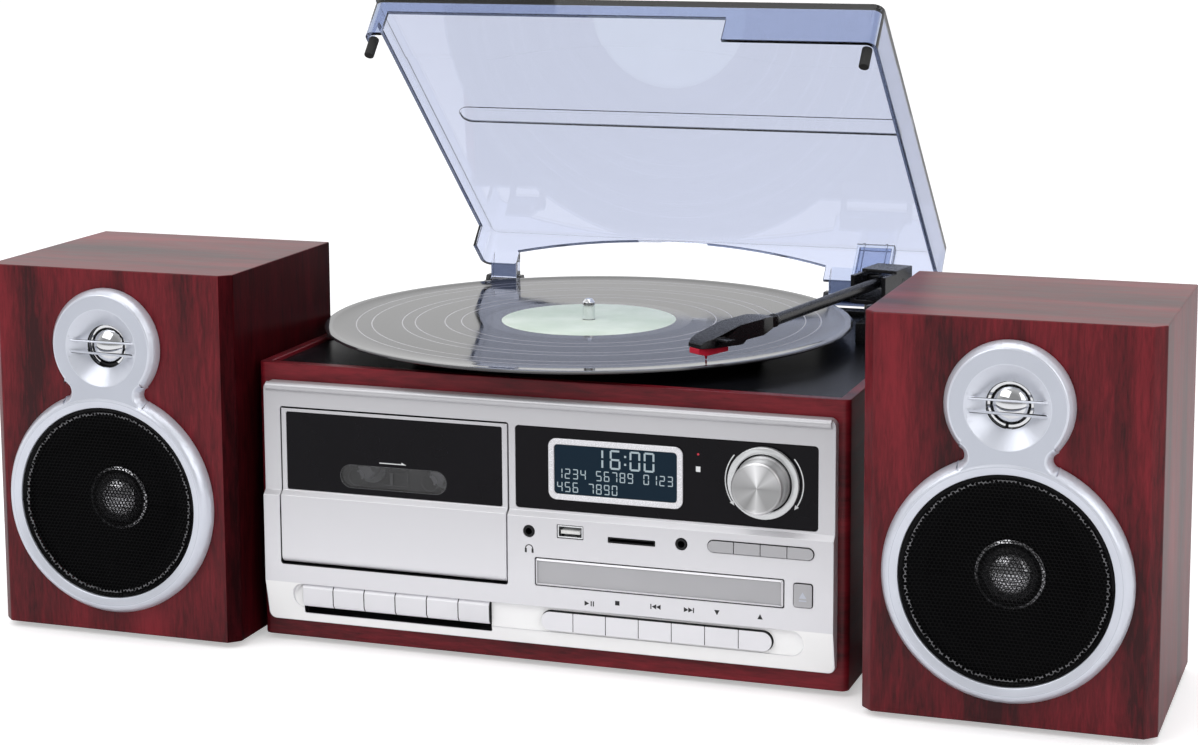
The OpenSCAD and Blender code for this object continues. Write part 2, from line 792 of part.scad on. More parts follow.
// One button of a row that shares a pill-shaped slot
module row_button(i, count, x, z, w, h, face) {
    cell = w/count;
    color("#aeb1b5") place() {
        intersection() {
            panel(x + gap, z + gap, w - 2*gap, h - 2*gap, face, -1, h/2 - gap - eps);
            block(x + i*cell + gap/2, x + (i + 1)*cell - gap/2, -30, 0, z, z + h);
        }
        block(x + (i + 0.5)*cell - 2, x + (i + 0.5)*cell + 2, -1.5,
              board_y - switch_h - press - 0.1, z + h/2 - 2, z + h/2 + 2);
    }
}

module control_button(i) {
    row_button(i, 7, ctrl_x, ctrl_z, ctrl_w, ctrl_h, -bezel_lower + 0.8);
}

module control_button_1() { control_button(0); }
module control_button_2() { control_button(1); }
module control_button_3() { control_button(2); }
module control_button_4() { control_button(3); }
module control_button_5() { control_button(4); }
module control_button_6() { control_button(5); }
module control_button_7() { control_button(6); }

module function_button(i) {
    row_button(i, 4, func_x, func_z, func_w, func_h, -bezel_lower - 0.8);
}

module function_button_1() { function_button(0); }
module function_button_2() { function_button(1); }
module function_button_3() { function_button(2); }
module function_button_4() { function_button(3); }

module eject_button() {
    color("#aeb1b5") place() {
        panel(eject_x + gap, eject_z + gap, eject_w - 2*gap, eject_h - 2*gap,
              -bezel_lower - 0.8, -1, 1.2);
        block(eject_x + 3, eject_x + 7, -1.5, board_y - switch_h - press - 0.1,
              eject_z + 4, eject_z + 8);
    }
}

// ---- disc drive

module cd_tray() {
    mid = tray_x + tray_w/2;
    color("#a8abb0") place() difference() {
        union() {
            panel(tray_x + door_gap, tray_z + door_gap, tray_w - 2*door_gap,
                  tray_h - 2*door_gap, -bezel_lower, -bezel_lower + 4, 0.8);
            block(mid - drawer_w/2, mid + drawer_w/2, -bezel_lower + 3, drawer_d, drawer_z,
                  drawer_z + drawer_h);
        }
        translate([mid, disc_y, drawer_z + drawer_h - 2]) cylinder(r = disc_r, h = 5);
        translate([mid, disc_y, drawer_z - 1]) cylinder(r = 18, h = 10);
    }
}

module cd_drive() {
    mid = tray_x + tray_w/2;
    hw = drawer_w/2 + gap;
    color("#54575c") place() difference() {
        block(mid - hw - 5, mid + hw + 5, 0, drawer_d + 18, tray_z - 3.4, tray_z + 19);
        block(mid - hw, mid + hw, -1, drawer_d + 12, drawer_z - gap, tray_z + 14);
    }
}

// ---- turntable

module platter() {
    color("#2a2a2c") place() translate([lp_x, lp_y, 0]) difference() {
        union() {
            translate([0, 0, platter_z - platter_t]) cylinder(r = platter_r, h = platter_t);
            translate([0, 0, flange_z + seat]) cylinder(r = 12, h = 7);
            translate([0, 0, platter_z - platter_rim]) difference() {
                cylinder(r = platter_r, h = platter_rim);
                translate([0, 0, -1]) cylinder(r = platter_r - 3.5, h = platter_rim);
            }
        }
        translate([0, 0, platter_z - 20]) cylinder(r = root_r + run, h = 30);
    }
}

module platter_mat() {
    color("#161616") place() translate([lp_x, lp_y, mat_z]) difference() {
        cylinder(r = platter_r - 2, h = mat_t);
        translate([0, 0, -1]) cylinder(r = root_r + run, h = 5);
    }
}

module record() {
    color("#101012") place() translate([lp_x, lp_y, lp_z - lp_t]) difference() {
        cylinder(r = lp_r, h = lp_t);
        translate([0, 0, -1]) cylinder(r = lp_hole_r, h = 5);
    }
}

module spindle() {
    tip = lp_z + spindle_up;
    low = well_z - deck_t - motor_h + 4;
    color("#d8dadc") place() translate([lp_x, lp_y, 0]) rotate_extrude()
        polygon([[0, low], [shaft_r, low], [shaft_r, flange_z - 2], [10, flange_z - 2],
                 [10, flange_z], [root_r, flange_z], [root_r, mat_z + 0.8],
                 [neck_r, mat_z + 0.8], [neck_r, lp_z + 0.2],
                 [spindle_r, lp_z + 0.2], [spindle_r, tip - 2],
                 [spindle_r - 1.6, tip], [0, tip]]);
}

module platter_motor() {
    top = well_z - deck_t - seat;
    low = well_z - deck_t - motor_h + 4;
    color("#8c8f94") place() translate([lp_x, lp_y, 0]) difference() {
        union() {
            translate([0, 0, top - motor_h]) cylinder(r = motor_r, h = motor_h);
            translate([0, 0, top - 2]) cylinder(r = motor_r + 8, h = 2);
            translate([0, 0, top - 1]) cylinder(r = 9, h = deck_t + 1.4);
        }
        translate([0, 0, low - gap]) cylinder(r = shaft_r + run, h = 60);
    }
}

// ---- tonearm

module at_pivot(angle = 0) {
    place() translate([arm_x, arm_y, 0]) rotate([0, 0, angle]) children();
}

module at_head() {
    at_pivot(tube_angle) translate([0, -tube_len, arm_z])
        rotate([0, 0, head_angle - tube_angle]) children();
}

module tonearm_base() {
    color("#15161a") place() difference() {
        union() {
            block(arm_x - 1.4, arm_x + 22, arm_y - 70, arm_y, deck_z + seat, arm_top - 2.4);
            translate([arm_x, arm_y, deck_z + seat]) cylinder(r = 12.6, h = arm_base_h - seat);
            translate([arm_rest[0], arm_rest[1], deck_z + seat])
                cylinder(r = 3.4, h = arm_z - tube_r - gap - deck_z - seat);
        }
        translate([arm_x, arm_y, deck_z + 2]) cylinder(r = post_r + run, h = 30);
    }
}

module tonearm_yoke() {
    low = arm_top + gap;
    color("#1c1d22") at_pivot(tube_angle) {
        translate([0, 0, deck_z + 2 + gap]) cylinder(r = post_r, h = low - deck_z - 2);
        difference() {
            union() {
                block(-11, 11, -26, 13, low, low + 2.4);
                for (s = [-1, 1])
                    block(s > 0 ? 8.4 : -11, s > 0 ? 11 : -8.4, -26, 13, low,
                          arm_z + tube_r + 2.6);
                block(-11, 11, -10, 13, arm_z + tube_r + 2.2, arm_z + tube_r + 4.2);
            }
            along_x(0, arm_z, -20, 20, pin_r + run);
        }
    }
}

module tonearm() {
    color("#121216") {
        at_pivot(tube_angle) {
            along_y(0, arm_z, -tube_len, 9, tube_r);
            block(-8.1, 8.1, -8, 9, arm_z - 3.6, arm_z + 3.2);
            along_x(0, arm_z, -11, 11, pin_r);
        }
        at_head() {
            sphere(r = tube_r + 0.6);
            block(-3.4, 3.4, -8, 0, -2.8, 2.8);
            intersection() {
                profile(-20, 40, [[-4, 3.2], [-12, 3.8], [-30, 2], [-51, -4.4], [-54, -6.4],
                                  [-54, head_under], [-28, head_under], [-25, -6.4],
                                  [-12, -5.2], [-4, -3.2]]);
                translate([0, 0, -20]) linear_extrude(40)
                    polygon([[-4.6, -4], [4.6, -4], [head_half, -14], [head_half, -47],
                             [5.4, -54], [-5.4, -54], [-head_half, -47],
                             [-head_half, -14]]);
            }
            block(head_half - 1, head_half + 8.6, -46, -40.5, -4.6, -3.2);
        }
    }
}

module stylus() {
    front = -head_reach - 8;
    color("#b3281e") at_head() {
        profile(-4, 8, [[front, head_under - seat], [front + holder_len, head_under - seat],
                        [front + holder_len, head_under - 3.4],
                        [front + 5, head_under - 4.4], [front, head_under - 3]]);
        translate([0, -head_reach, -arm_up + seat])
            cylinder(r1 = 0.4, r2 = 1.6, h = arm_up + head_under - 2.5);
    }
}

// ---- lid (drawn closed, then swung open about its hinge)

module lid_open() {
    place() translate([0, hinge_y, hinge_z]) rotate([-lid_angle, 0, 0])
        translate([0, -hinge_y, -hinge_z]) children();
}

// Bar with a round left end that runs to the lid's right side
module lid_rib(z0, z1, side) {
    r = rib_w/2 - side;
    translate([0, 0, z0]) linear_extrude(z1 - z0) {
        translate([lid_x + 18 + rib_w/2, rib_y]) circle(r = r);
        translate([lid_x + 18 + rib_w/2, rib_y - r])
            square([lid_w - 28 - rib_w/2 - side, 2*r]);
    }
}

// Thicker band under the lid's front edge, cut back by an arc in the middle
module lid_band() {
    under = lid_top - lid_t;
    difference() {
        block(lid_x + 1, lid_x + lid_w - 1, lid_y + 1, lid_y + band_d, under - 0.6, under + 1);
        translate([lid_x + 144, lid_y + band_d - 15 + band_r, under - 2])
            cylinder(r = band_r, h = 4);
    }
}

// Open box on the inside of the rear skirt with two ribs on its face
module lid_pocket() {
    y1 = lid_y + lid_d - lid_t + eps;
    y0 = y1 - pocket_d;
    z0 = lid_top - skirt_deep + 1;
    z1 = lid_top - lid_t + eps;
    difference() {
        block(pocket_x, pocket_x + pocket_w, y0, y1, z0, z1);
        block(pocket_x + 1.5, pocket_x + pocket_w - 1.5, y0 + 1.5, y1 - eps, z0 - 1, z1 - 1.5);
    }
    for (x = [pocket_x + 4, pocket_x + pocket_w - 5.2])
        block(x, x + 1.2, y0 - 1, y0 + eps, z0 + 2, z1);
}

// Opening in the rear skirt: straight sides under a flat arch
module lid_arch() {
    y1 = lid_y + lid_d;
    mid = lid_x + 121.8;
    intersection() {
        along_y(mid, lid_top - lid_t - 0.8 - arch_r, y1 - 8, y1 + 1, arch_r);
        block(lid_x + 22, lid_x + 221.5, y1 - 9, y1 + 2, lid_top - skirt_deep - 1, lid_top);
    }
}

module lid() {
    x1 = lid_x + lid_w;
    y1 = lid_y + lid_d;
    low = lid_top - skirt_deep;
    ledge = lid_top - skirt_low;
    color("#5b6470") lid_open() difference() {
        union() {
            difference() {
                union() {
                    translate([lid_x + lid_w/2, lid_y + lid_d/2, low])
                        linear_extrude(skirt_deep) rounded(lid_w, lid_d, 6);
                    lid_rib(lid_top - 1, lid_top + rib_t, 0);
                }
                translate([lid_x + lid_w/2, lid_y + lid_d/2, low - 1])
                    linear_extrude(skirt_deep - lid_t + 1)
                        rounded(lid_w - 2*lid_t, lid_d - 2*lid_t, 6 - lid_t);
                lid_rib(lid_top - lid_t - 1, lid_top - lid_t + rib_t, 1);
                block(lid_x + 11, lid_x + 209, lid_y - 1, lid_y + 10, low - 1, ledge);
                block(lid_x - 1, lid_x + 10, lid_y + 11, y1 - 22, low - 1, ledge);
                lid_arch();
            }
            lid_band();
            lid_pocket();
            for (leg = legs) {
                profile(leg[0], leg[1], [[y1 - lid_t, low + 1], [y1 - lid_t, low + 10],
                                         [y1, low + 10], [hinge_y + 3.4, hinge_z + 2.8],
                                         [hinge_y - 1, hinge_z - 3.6]]);
                along_x(hinge_y, hinge_z, leg[0], leg[0] + leg[1], knuckle_r);
            }
        }
        along_x(hinge_y, hinge_z, lid_x - 1, x1 + 1, hinge_pin_r + run);
    }
}

module lid_bumpers() {
    low = lid_top - skirt_deep;
    color("#101010") lid_open()
        for (x = [lid_x + 5.5, lid_x + lid_w - 5.5])
            translate([x, lid_y + 5.5, deck_z + gap])
                cylinder(r = bumper_r, h = low - deck_z - gap - seat);
}

module hinge_brackets() {
    color("#3c4450") place() for (leg = legs) {
        x0 = leg[0] - gap - ear_t;
        x1 = leg[0] + leg[1] + gap;
        block(x0, x1 + ear_t, cab_d - 13, cab_d - 3.4, deck_z + seat, deck_z + 3);
        for (x = [x0, x1])
            profile(x, ear_t, [[cab_d - 13, deck_z + seat], [cab_d - 1, deck_z + seat],
                               [cab_d + 0.5, deck_z + 2.2], [hinge_y + 3, hinge_z - 3.6],
                               [hinge_y + 4, hinge_z], [hinge_y + 3, hinge_z + 4],
                               [hinge_y - 3.4, hinge_z + 4], [hinge_y - 5, hinge_z + 1],
                               [cab_d - 4, hinge_z], [cab_d - 13, deck_z + 3]]);
        along_x(hinge_y, hinge_z, x0, x1 + ear_t, hinge_pin_r);
    }
}

// ---- inside

module chassis() {
    z1 = tray_z - 3.4 - seat;
    back = cab_d - rear_t - 1.5;
    color("#8f9499") place() {
        half = inner_w/2 - chassis_side;
        top = floor_z + seat + chassis_t;
        block(-half, half, wall + 13, cab_d - 8, floor_z + seat, top);
        for (x = [tray_x + 2, tray_x + tray_w - 4])
            block(x, x + 2, 30, drawer_d + 10, top - eps, z1);
        for (x = [board_left + 6, board_left + board_w - 6], y = [back - board_d + 7, back - 15])
            translate([x, y, top - eps]) cylinder(r = 3, h = board_up);
    }
}

module main_board() {
    z = floor_z + seat + chassis_t + board_up + seat;
    back = cab_d - rear_t - 1.5;
    right = board_left + board_w;
    mid = z + 12;
    color("#2a5a33") place() {
        block(board_left, right, back - board_d, back, z, z + board_t);
        block(board_left + 38, board_left + 68, back - 75, back - 60, z + board_t - eps,
              z + socket_h);
        for (x = [board_left + 88, board_left + 108])
            translate([x, back - 50, z]) cylinder(r = 7, h = socket_h + 2);
        difference() {
            union() {
                block(board_left + 3, board_left + 53, back - 12, cab_d + 0.5, z + 1,
                      z + socket_h);
                block(board_left + 62, right - 2, back - 10, cab_d - rear_t - 0.4, z + 1,
                      z + socket_h);
                for (x = [board_left + 70, board_left + 88])
                    along_y(x, mid, back - 10, cab_d + 6, 4.4);
                along_y(board_left + 110, mid, back - 10, cab_d + 5, 5);
            }
            for (i = [0:3])
                along_y(board_left + 11 + i*11.4, mid, back - 6, cab_d + 2, 2.4);
            for (x = [board_left + 70, board_left + 88])
                along_y(x, mid, back - 6, cab_d + 8, 1.8);
            along_y(board_left + 110, mid, back - 6, cab_d + 8, 1.6);
            along_y(board_left + 132, mid, back - 6, cab_d + 2, 3.2);
        }
    }
}

module transformer() {
    z = floor_z + seat + chassis_t + seat;
    x0 = -inner_w/2 + chassis_side + 6;
    y0 = cab_d - 34 - core_d;
    color("#6d5a3c") place() {
        block(x0, x0 + core_w, y0, y0 + core_d, z, z + core_h);
        block(x0 + 12, x0 + core_w - 12, y0 - 12, y0 + core_d + 12, z + 8, z + core_h - 8);
    }
}

// ---- speakers, each drawn with its front at y = 0 and its middle at x = 0

module at_speaker(side) {
    translate([side*speaker_x, unit_y - speaker_fwd, 0]) children();
}

module speaker_box(side) {
    color("#5a2318") at_speaker(side) difference() {
        translate([0, 0, foot_h]) linear_extrude(spk_h)
            polygon([[-spk_w/2, spk_d], [-spk_w/2, spk_cham], [-spk_w/2 + spk_cham, 0],
                     [spk_w/2 - spk_cham, 0], [spk_w/2, spk_cham], [spk_w/2, spk_d]]);
        block(-spk_w/2 + spk_wall, spk_w/2 - spk_wall, spk_wall, spk_d - spk_wall,
              foot_h + spk_wall, foot_h + spk_h - spk_wall);
        along_y(0, woofer_z, -1, spk_wall + 1, woofer_r);
        along_y(0, tweeter_z, -1, spk_wall + 1, tweeter_r + 2);
        panel(-term_w/2 + 5, woofer_z - term_h/2 + 5, term_w - 10, term_h - 10,
              spk_d - spk_wall - 1, spk_d + 1);
    }
}

module left_speaker_box() { speaker_box(-1); }
module right_speaker_box() { speaker_box(1); }

// Turned shape on the baffle: points as [radius, height], middle at height z
module turned(z, pts) {
    translate([0, 0, z]) rotate([90, 0, 0]) rotate_extrude() polygon(pts);
}

// Neck between the two rings of the trim, with fillets that carry the same slope
module trim_neck() {
    ra = trim_woofer_r + waist_r;
    rb = trim_tweeter_r + waist_r;
    up = (driver_pitch*driver_pitch + ra*ra - rb*rb)/(2*driver_pitch);
    out = sqrt(ra*ra - up*up);
    low_x = out*(ra - 6)/ra;
    low_z = up*(ra - 6)/ra - 8;
    top_x = out*(rb - 6)/rb;
    top_z = driver_pitch + (up - driver_pitch)*(rb - 6)/rb + 8;
    difference() {
        translate([0, -seat, woofer_z]) rotate([90, 0, 0])
            linear_extrude(trim_t - 0.6 - seat)
                polygon([[-low_x, low_z], [low_x, low_z], [out, up], [top_x, top_z],
                         [-top_x, top_z], [-out, up]]);
        along_y(0, woofer_z, -20, 1, trim_woofer_r - 4.2);
        along_y(0, tweeter_z, -20, 1, dish_r + 2);
        for (s = [-1, 1])
            translate([s*out, 0, woofer_z + up]) rotate([90, 0, 0]) rotate_extrude()
                polygon([[0, -1], [waist_r + 0.05, -1], [waist_r + 0.05, 4],
                         [waist_r + 0.05 + trim_slope, 8], [waist_r + trim_slope + 0.8, 8.4],
                         [waist_r + trim_slope + 0.8, 12], [0, 12]]);
    }
}

module speaker_trim(side) {
    bore = grille_r + gap/2;
    rw = trim_woofer_r;
    rt = trim_tweeter_r;
    color("#b4b7bb") at_speaker(side) {
        turned(woofer_z, [[bore, seat], [rw, seat], [rw, 4], [rw - trim_slope, 8],
                          [rw - trim_slope - 2, trim_t], [rw - trim_slope - 3.3, trim_t - 0.3],
                          [bore, trim_t - 1.4]]);
        turned(tweeter_z, [[throat_r, seat], [rt, seat], [rt, 4], [rt - trim_slope, 8],
                           [rt - trim_slope - 1, trim_t - 0.6], [dish_r, trim_t - 0.6],
                           [dish_r - 0.3, trim_t - 1], [throat_r, 1.6]]);
        trim_neck();
        for (z = [tweeter_z - 3.8, tweeter_z + 2.6])
            block(-dish_r + 0.9, dish_r - 0.9, -7.4, -5.6, z, z + 1.2);
    }
}

module left_speaker_trim() { speaker_trim(-1); }
module right_speaker_trim() { speaker_trim(1); }

module speaker_grilles() {
    color("#1c1c1e") for (side = [-1, 1]) at_speaker(side)
        translate([0, -1.5, woofer_z]) rotate([90, 0, 0]) rotate_extrude()
            polygon([[0, 1.6], [28, 2], [44, 3.2], [grille_r, 5.2], [grille_r, 0.2],
                     [grille_r - 1, 0.2], [grille_r - 1, 3.8], [44, 2], [28, 0.8],
                     [0, 0.4]]);
}

module woofers() {
    color("#232326") for (side = [-1, 1]) at_speaker(side)
        translate([0, 0, woofer_z]) rotate([-90, 0, 0]) rotate_extrude()
            polygon([[0, 6], [dust_r, 8.5], [woofer_r - 10, 0.8], [woofer_r - 6, -1.4],
                     [woofer_r - 2, -0.8],
                     [grille_r - 1.2, -1.6], [grille_r - 1.2, -seat], [woofer_r - 0.4, -seat],
                     [woofer_r - 0.4, 4], [magnet_r - 6, woofer_d - 18],
                     [magnet_r, woofer_d - 18], [magnet_r, woofer_d], [0, woofer_d]]);
}

module tweeters() {
    ball = (dome_r*dome_r + dome_h*dome_h)/(2*dome_h);
    color("#c8cace") for (side = [-1, 1]) at_speaker(side) {
        intersection() {
            translate([0, ball - dome_h, tweeter_z]) sphere(r = ball);
            along_y(0, tweeter_z, -dome_h - 1, 1, dome_r);
        }
        translate([0, 0.3, tweeter_z]) rotate([-90, 0, 0]) rotate_extrude()
            polygon([[0, 0], [tweeter_r, 0], [tweeter_r + 1.8, 0.2], [tweeter_r + 1.8, 10],
                     [tweeter_r - 5, tweeter_d], [0, tweeter_d]]);
    }
}

module speaker_terminals() {
    color("#1a1a1c") for (side = [-1, 1]) at_speaker(side) difference() {
        union() {
            block(-term_w/2, term_w/2, spk_d + seat, spk_d + 2.5, woofer_z - term_h/2,
                  woofer_z + term_h/2);
            block(-term_w/2 + 6, term_w/2 - 6, spk_d - 14, spk_d + 1,
                  woofer_z - term_h/2 + 6, woofer_z + term_h/2 - 6);
            for (x = [-18, 6]) block(x, x + 12, spk_d + 2, spk_d + 6, woofer_z + 2,
                                     woofer_z + 10);
        }
        for (x = [-12, 12]) along_y(x, woofer_z - 5, spk_d - 6, spk_d + 5, 2);
    }
}

cabinet_shell();
rear_panel();
deck_plate();
feet();
front_bezel();
fascia_panel();
display_frame();
display_module();
volume_knob();
knob_ring();
front_board();
cassette_door();
cassette_window();
cassette_bay();
cassette_mechanism();
left_spool();
right_spool();
cassette_key_1();
cassette_key_2();
cassette_key_3();
cassette_key_4();
cassette_key_5();
cassette_key_6();
control_button_1();
control_button_2();
control_button_3();
control_button_4();
control_button_5();
control_button_6();
control_button_7();
function_button_1();
function_button_2();
function_button_3();
function_button_4();
eject_button();
cd_tray();
cd_drive();
platter();
platter_mat();
record();
spindle();
platter_motor();
tonearm_base();
tonearm_yoke();
tonearm();
stylus();
lid();
lid_bumpers();
hinge_brackets();
chassis();
main_board();
transformer();
left_speaker_box();
right_speaker_box();
left_speaker_trim();
right_speaker_trim();
speaker_grilles();
woofers();
tweeters();
speaker_terminals();
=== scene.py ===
"""Looks of a stereo music centre: record player, cassette deck, disc drawer and two speakers."""

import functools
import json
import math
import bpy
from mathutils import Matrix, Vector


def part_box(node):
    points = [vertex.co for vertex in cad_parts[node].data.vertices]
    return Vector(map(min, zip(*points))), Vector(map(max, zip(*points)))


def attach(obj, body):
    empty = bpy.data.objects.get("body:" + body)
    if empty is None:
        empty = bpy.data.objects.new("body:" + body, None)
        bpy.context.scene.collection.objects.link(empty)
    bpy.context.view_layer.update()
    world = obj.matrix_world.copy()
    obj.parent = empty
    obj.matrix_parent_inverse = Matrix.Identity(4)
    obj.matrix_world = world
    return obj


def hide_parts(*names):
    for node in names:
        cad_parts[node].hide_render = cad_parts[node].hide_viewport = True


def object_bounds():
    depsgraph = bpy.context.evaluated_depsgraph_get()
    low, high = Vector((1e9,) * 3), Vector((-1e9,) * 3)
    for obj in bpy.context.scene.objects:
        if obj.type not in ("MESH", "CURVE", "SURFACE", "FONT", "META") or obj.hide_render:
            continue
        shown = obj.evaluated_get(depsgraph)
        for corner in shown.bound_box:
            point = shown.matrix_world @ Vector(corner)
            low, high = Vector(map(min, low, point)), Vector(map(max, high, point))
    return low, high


bl_info = {
    "name": "Stereo Music Centre",
    "version": (1, 0, 0),
    "blender": (4, 5, 0),
    "location": "3D View > Sidebar > Music Centre",
    "description": "Dresses the packed frame of a stereo music centre with details and finishes",
    "category": "Object",
}

import bmesh
import bpy
from bpy.props import FloatProperty, FloatVectorProperty, IntProperty, PointerProperty
from mathutils import Matrix, Vector

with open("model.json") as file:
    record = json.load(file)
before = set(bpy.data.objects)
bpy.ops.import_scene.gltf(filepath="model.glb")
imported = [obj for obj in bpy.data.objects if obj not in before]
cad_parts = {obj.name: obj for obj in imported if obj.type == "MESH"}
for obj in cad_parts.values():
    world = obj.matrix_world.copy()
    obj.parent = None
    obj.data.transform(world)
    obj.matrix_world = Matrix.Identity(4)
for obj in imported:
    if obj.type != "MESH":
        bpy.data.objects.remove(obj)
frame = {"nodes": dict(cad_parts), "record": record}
CAD_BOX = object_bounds()

BODY_OF = {
    node: body
    for body, nodes in frame["record"]["behaviour"]["bodies"].items()
    for node in nodes
}
SLOT_OF = {part["node"]: part["material_slot"] for part in frame["record"]["subparts"]}

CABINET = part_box("cabinet_shell")
MIDDLE_X = (CABINET[0].x + CABINET[1].x) / 2
FRONT_Y = CABINET[0].y


# Places and sizes

@functools.cache
def box(node):
    """The two corners of a CAD node's box, measured once."""
    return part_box(node)


def mm(value):
    """Millimetres as metres."""
    return value / 1000


def at(x, y, z):
    """A point given in millimetres from the foot of the cabinet's front, at its middle."""
    return Vector((MIDDLE_X + mm(x), FRONT_Y + mm(y), mm(z)))


def unit(point):
    """A point's millimetres from the foot of the cabinet's front, at its middle."""
    return (point - at(0, 0, 0)) * 1000


@functools.cache
def corners(node):
    """The same two corners in millimetres from the foot of the cabinet's front."""
    low, high = box(node)
    return unit(low), unit(high)


def middle(node):
    """The middle of a CAD node's box."""
    low, high = box(node)
    return (low + high) / 2


# Sizes and colours that a user may change

class StageSetup(bpy.types.PropertyGroup):
    camera_place: FloatVectorProperty(
        name="Camera place", description="Where the camera stands", subtype="TRANSLATION",
        unit="LENGTH", default=(0.4662, -1.37885, 0.4338))
    camera_yaw: FloatProperty(
        name="Yaw", description="Turn of the camera to the left", subtype="ANGLE",
        default=math.radians(19.26))
    camera_pitch: FloatProperty(
        name="Pitch", description="Tilt of the camera, down is negative", subtype="ANGLE",
        default=math.radians(-8.43))
    camera_roll: FloatProperty(
        name="Roll", description="Lean of the camera", subtype="ANGLE",
        default=math.radians(-0.33))
    lens: FloatProperty(
        name="Lens", description="Focal length on a 36 mm wide sensor", default=78.38, min=20)
    shift: FloatProperty(
        name="Shift", description="Upright shift of the picture, in picture widths",
        default=-0.12)
    ambient: FloatProperty(
        name="Ambient", description="Strength of the light from all round", default=0.66, min=0)
    front_gloss: FloatProperty(
        name="Front gloss", description="Brightness of the room that gloss shows in front",
        default=0.30, min=0)
    key_power: FloatProperty(
        name="Key light", description="Power of the large front light in watts",
        default=15.5, min=0)
    top_power: FloatProperty(
        name="Top light", description="Power of the overhead light in watts",
        default=9.0, min=0)
    fill_power: FloatProperty(
        name="Fill light", description="Power of the side light in watts", default=7.0, min=0)
    floor_colour: FloatVectorProperty(
        name="Floor", description="Colour of the floor", subtype="COLOR", size=3,
        default=(0.90, 0.90, 0.91))
    floor_lift: FloatProperty(
        name="Floor lift", description="White added to the floor where the camera sees it",
        default=0.42, min=0)


class WoodLook(bpy.types.PropertyGroup):
    dark: FloatVectorProperty(
        name="Dark streak", description="Darkest colour of the grain", subtype="COLOR", size=3,
        default=(0.034, 0.0032, 0.0050))
    middle: FloatVectorProperty(
        name="Ground", description="Main colour of the veneer", subtype="COLOR", size=3,
        default=(0.112, 0.0062, 0.0110))
    light: FloatVectorProperty(
        name="Light streak", description="Lightest colour of the grain", subtype="COLOR", size=3,
        default=(0.200, 0.012, 0.020))
    streak_width: FloatProperty(
        name="Streak width", description="Width of the broad streaks", unit="LENGTH",
        default=0.026, min=0.001)
    streak_length: FloatProperty(
        name="Streak length", description="Length of the streaks", unit="LENGTH",
        default=0.20, min=0.01)
    edge: FloatProperty(
        name="Edge radius", description="Rounding of the veneered edges", unit="LENGTH",
        default=0.0008, min=0)


class FrontSizes(bpy.types.PropertyGroup):
    edge: FloatProperty(
        name="Edge radius", description="Rounding of the moulded edges", unit="LENGTH",
        default=0.0004, min=0)
    ink: FloatProperty(
        name="Ink thickness", description="Height of the printed marks", unit="LENGTH",
        default=0.00006, min=0)
    silver: FloatVectorProperty(
        name="Silver", description="Colour of the silver lacquer", subtype="COLOR", size=3,
        default=(0.80, 0.795, 0.83))
    lcd: FloatVectorProperty(
        name="Display ground", description="Colour of the display behind its digits",
        subtype="COLOR", size=3, default=(0.0030, 0.012, 0.023))
    lcd_ink: FloatVectorProperty(
        name="Display digits", description="Colour of the lit digits", subtype="COLOR", size=3,
        default=(0.44, 0.53, 0.58))
    clock_height: FloatProperty(
        name="Clock height", description="Height of the clock's digits", unit="LENGTH",
        default=0.0104, min=0.001)
    row_height: FloatProperty(
        name="Row height", description="Height of the small digits", unit="LENGTH",
        default=0.0054, min=0.001)


class DeckSizes(bpy.types.PropertyGroup):
    label_radius: FloatProperty(
        name="Label radius", description="Radius of the record's label", unit="LENGTH",
        default=0.050, min=0.01)
    label_colour: FloatVectorProperty(
        name="Label colour", description="Colour of the record's label", subtype="COLOR",
        size=3, default=(0.80, 0.93, 0.78))
    tracks: IntProperty(
        name="Tracks", description="Number of tracks on the record's side", default=7, min=1)
    track_gap: FloatProperty(
        name="Track gap", description="Width of the smooth ring between tracks",
        unit="LENGTH", default=0.0007, min=0.0002)
    lid_angle: FloatProperty(
        name="Lid angle", description="How far the lid stands open at rest", subtype="ANGLE",
        default=math.radians(42))


class SpeakerSizes(bpy.types.PropertyGroup):
    hole_pitch: FloatProperty(
        name="Hole pitch", description="Distance between the holes of the grille",
        unit="LENGTH", default=0.0021, min=0.001)
    hole_share: FloatProperty(
        name="Hole share", description="Size of a hole as a share of its cell",
        subtype="FACTOR", default=0.76, min=0.2, max=0.95)
    sheet: FloatProperty(
        name="Sheet", description="Thickness of the grille's sheet", unit="LENGTH",
        default=0.0006, min=0.0002)


GROUPS = {
    "music_stage": StageSetup,
    "music_wood": WoodLook,
    "music_front": FrontSizes,
    "music_deck": DeckSizes,
    "music_speakers": SpeakerSizes,
}


def sizes(group):
    """The scene's values of one property group."""
    return getattr(bpy.context.scene, group)


# Finishes

def shader(name, colour, roughness, metallic=0.0, **values):
    """A new material's node tree and its Principled shader, with constants set on its sockets."""
    material = bpy.data.materials.new(name)
    material.use_nodes = True
    tree = material.node_tree
    surface = tree.nodes["Principled BSDF"]
    surface.inputs["Base Color"].default_value = (*colour, 1)
    surface.inputs["Roughness"].default_value = roughness
    surface.inputs["Metallic"].default_value = metallic
    for socket, value in values.items():
        surface.inputs[socket.replace("_", " ")].default_value = value
    return material, tree, surface


def add(tree, kind, values=None, **settings):
    """A new node with its settings and unlinked input values."""
    made = tree.nodes.new(kind)
    for key, value in settings.items():
        setattr(made, key, value)
    for socket, value in (values or {}).items():
        made.inputs[socket].default_value = value
    return made


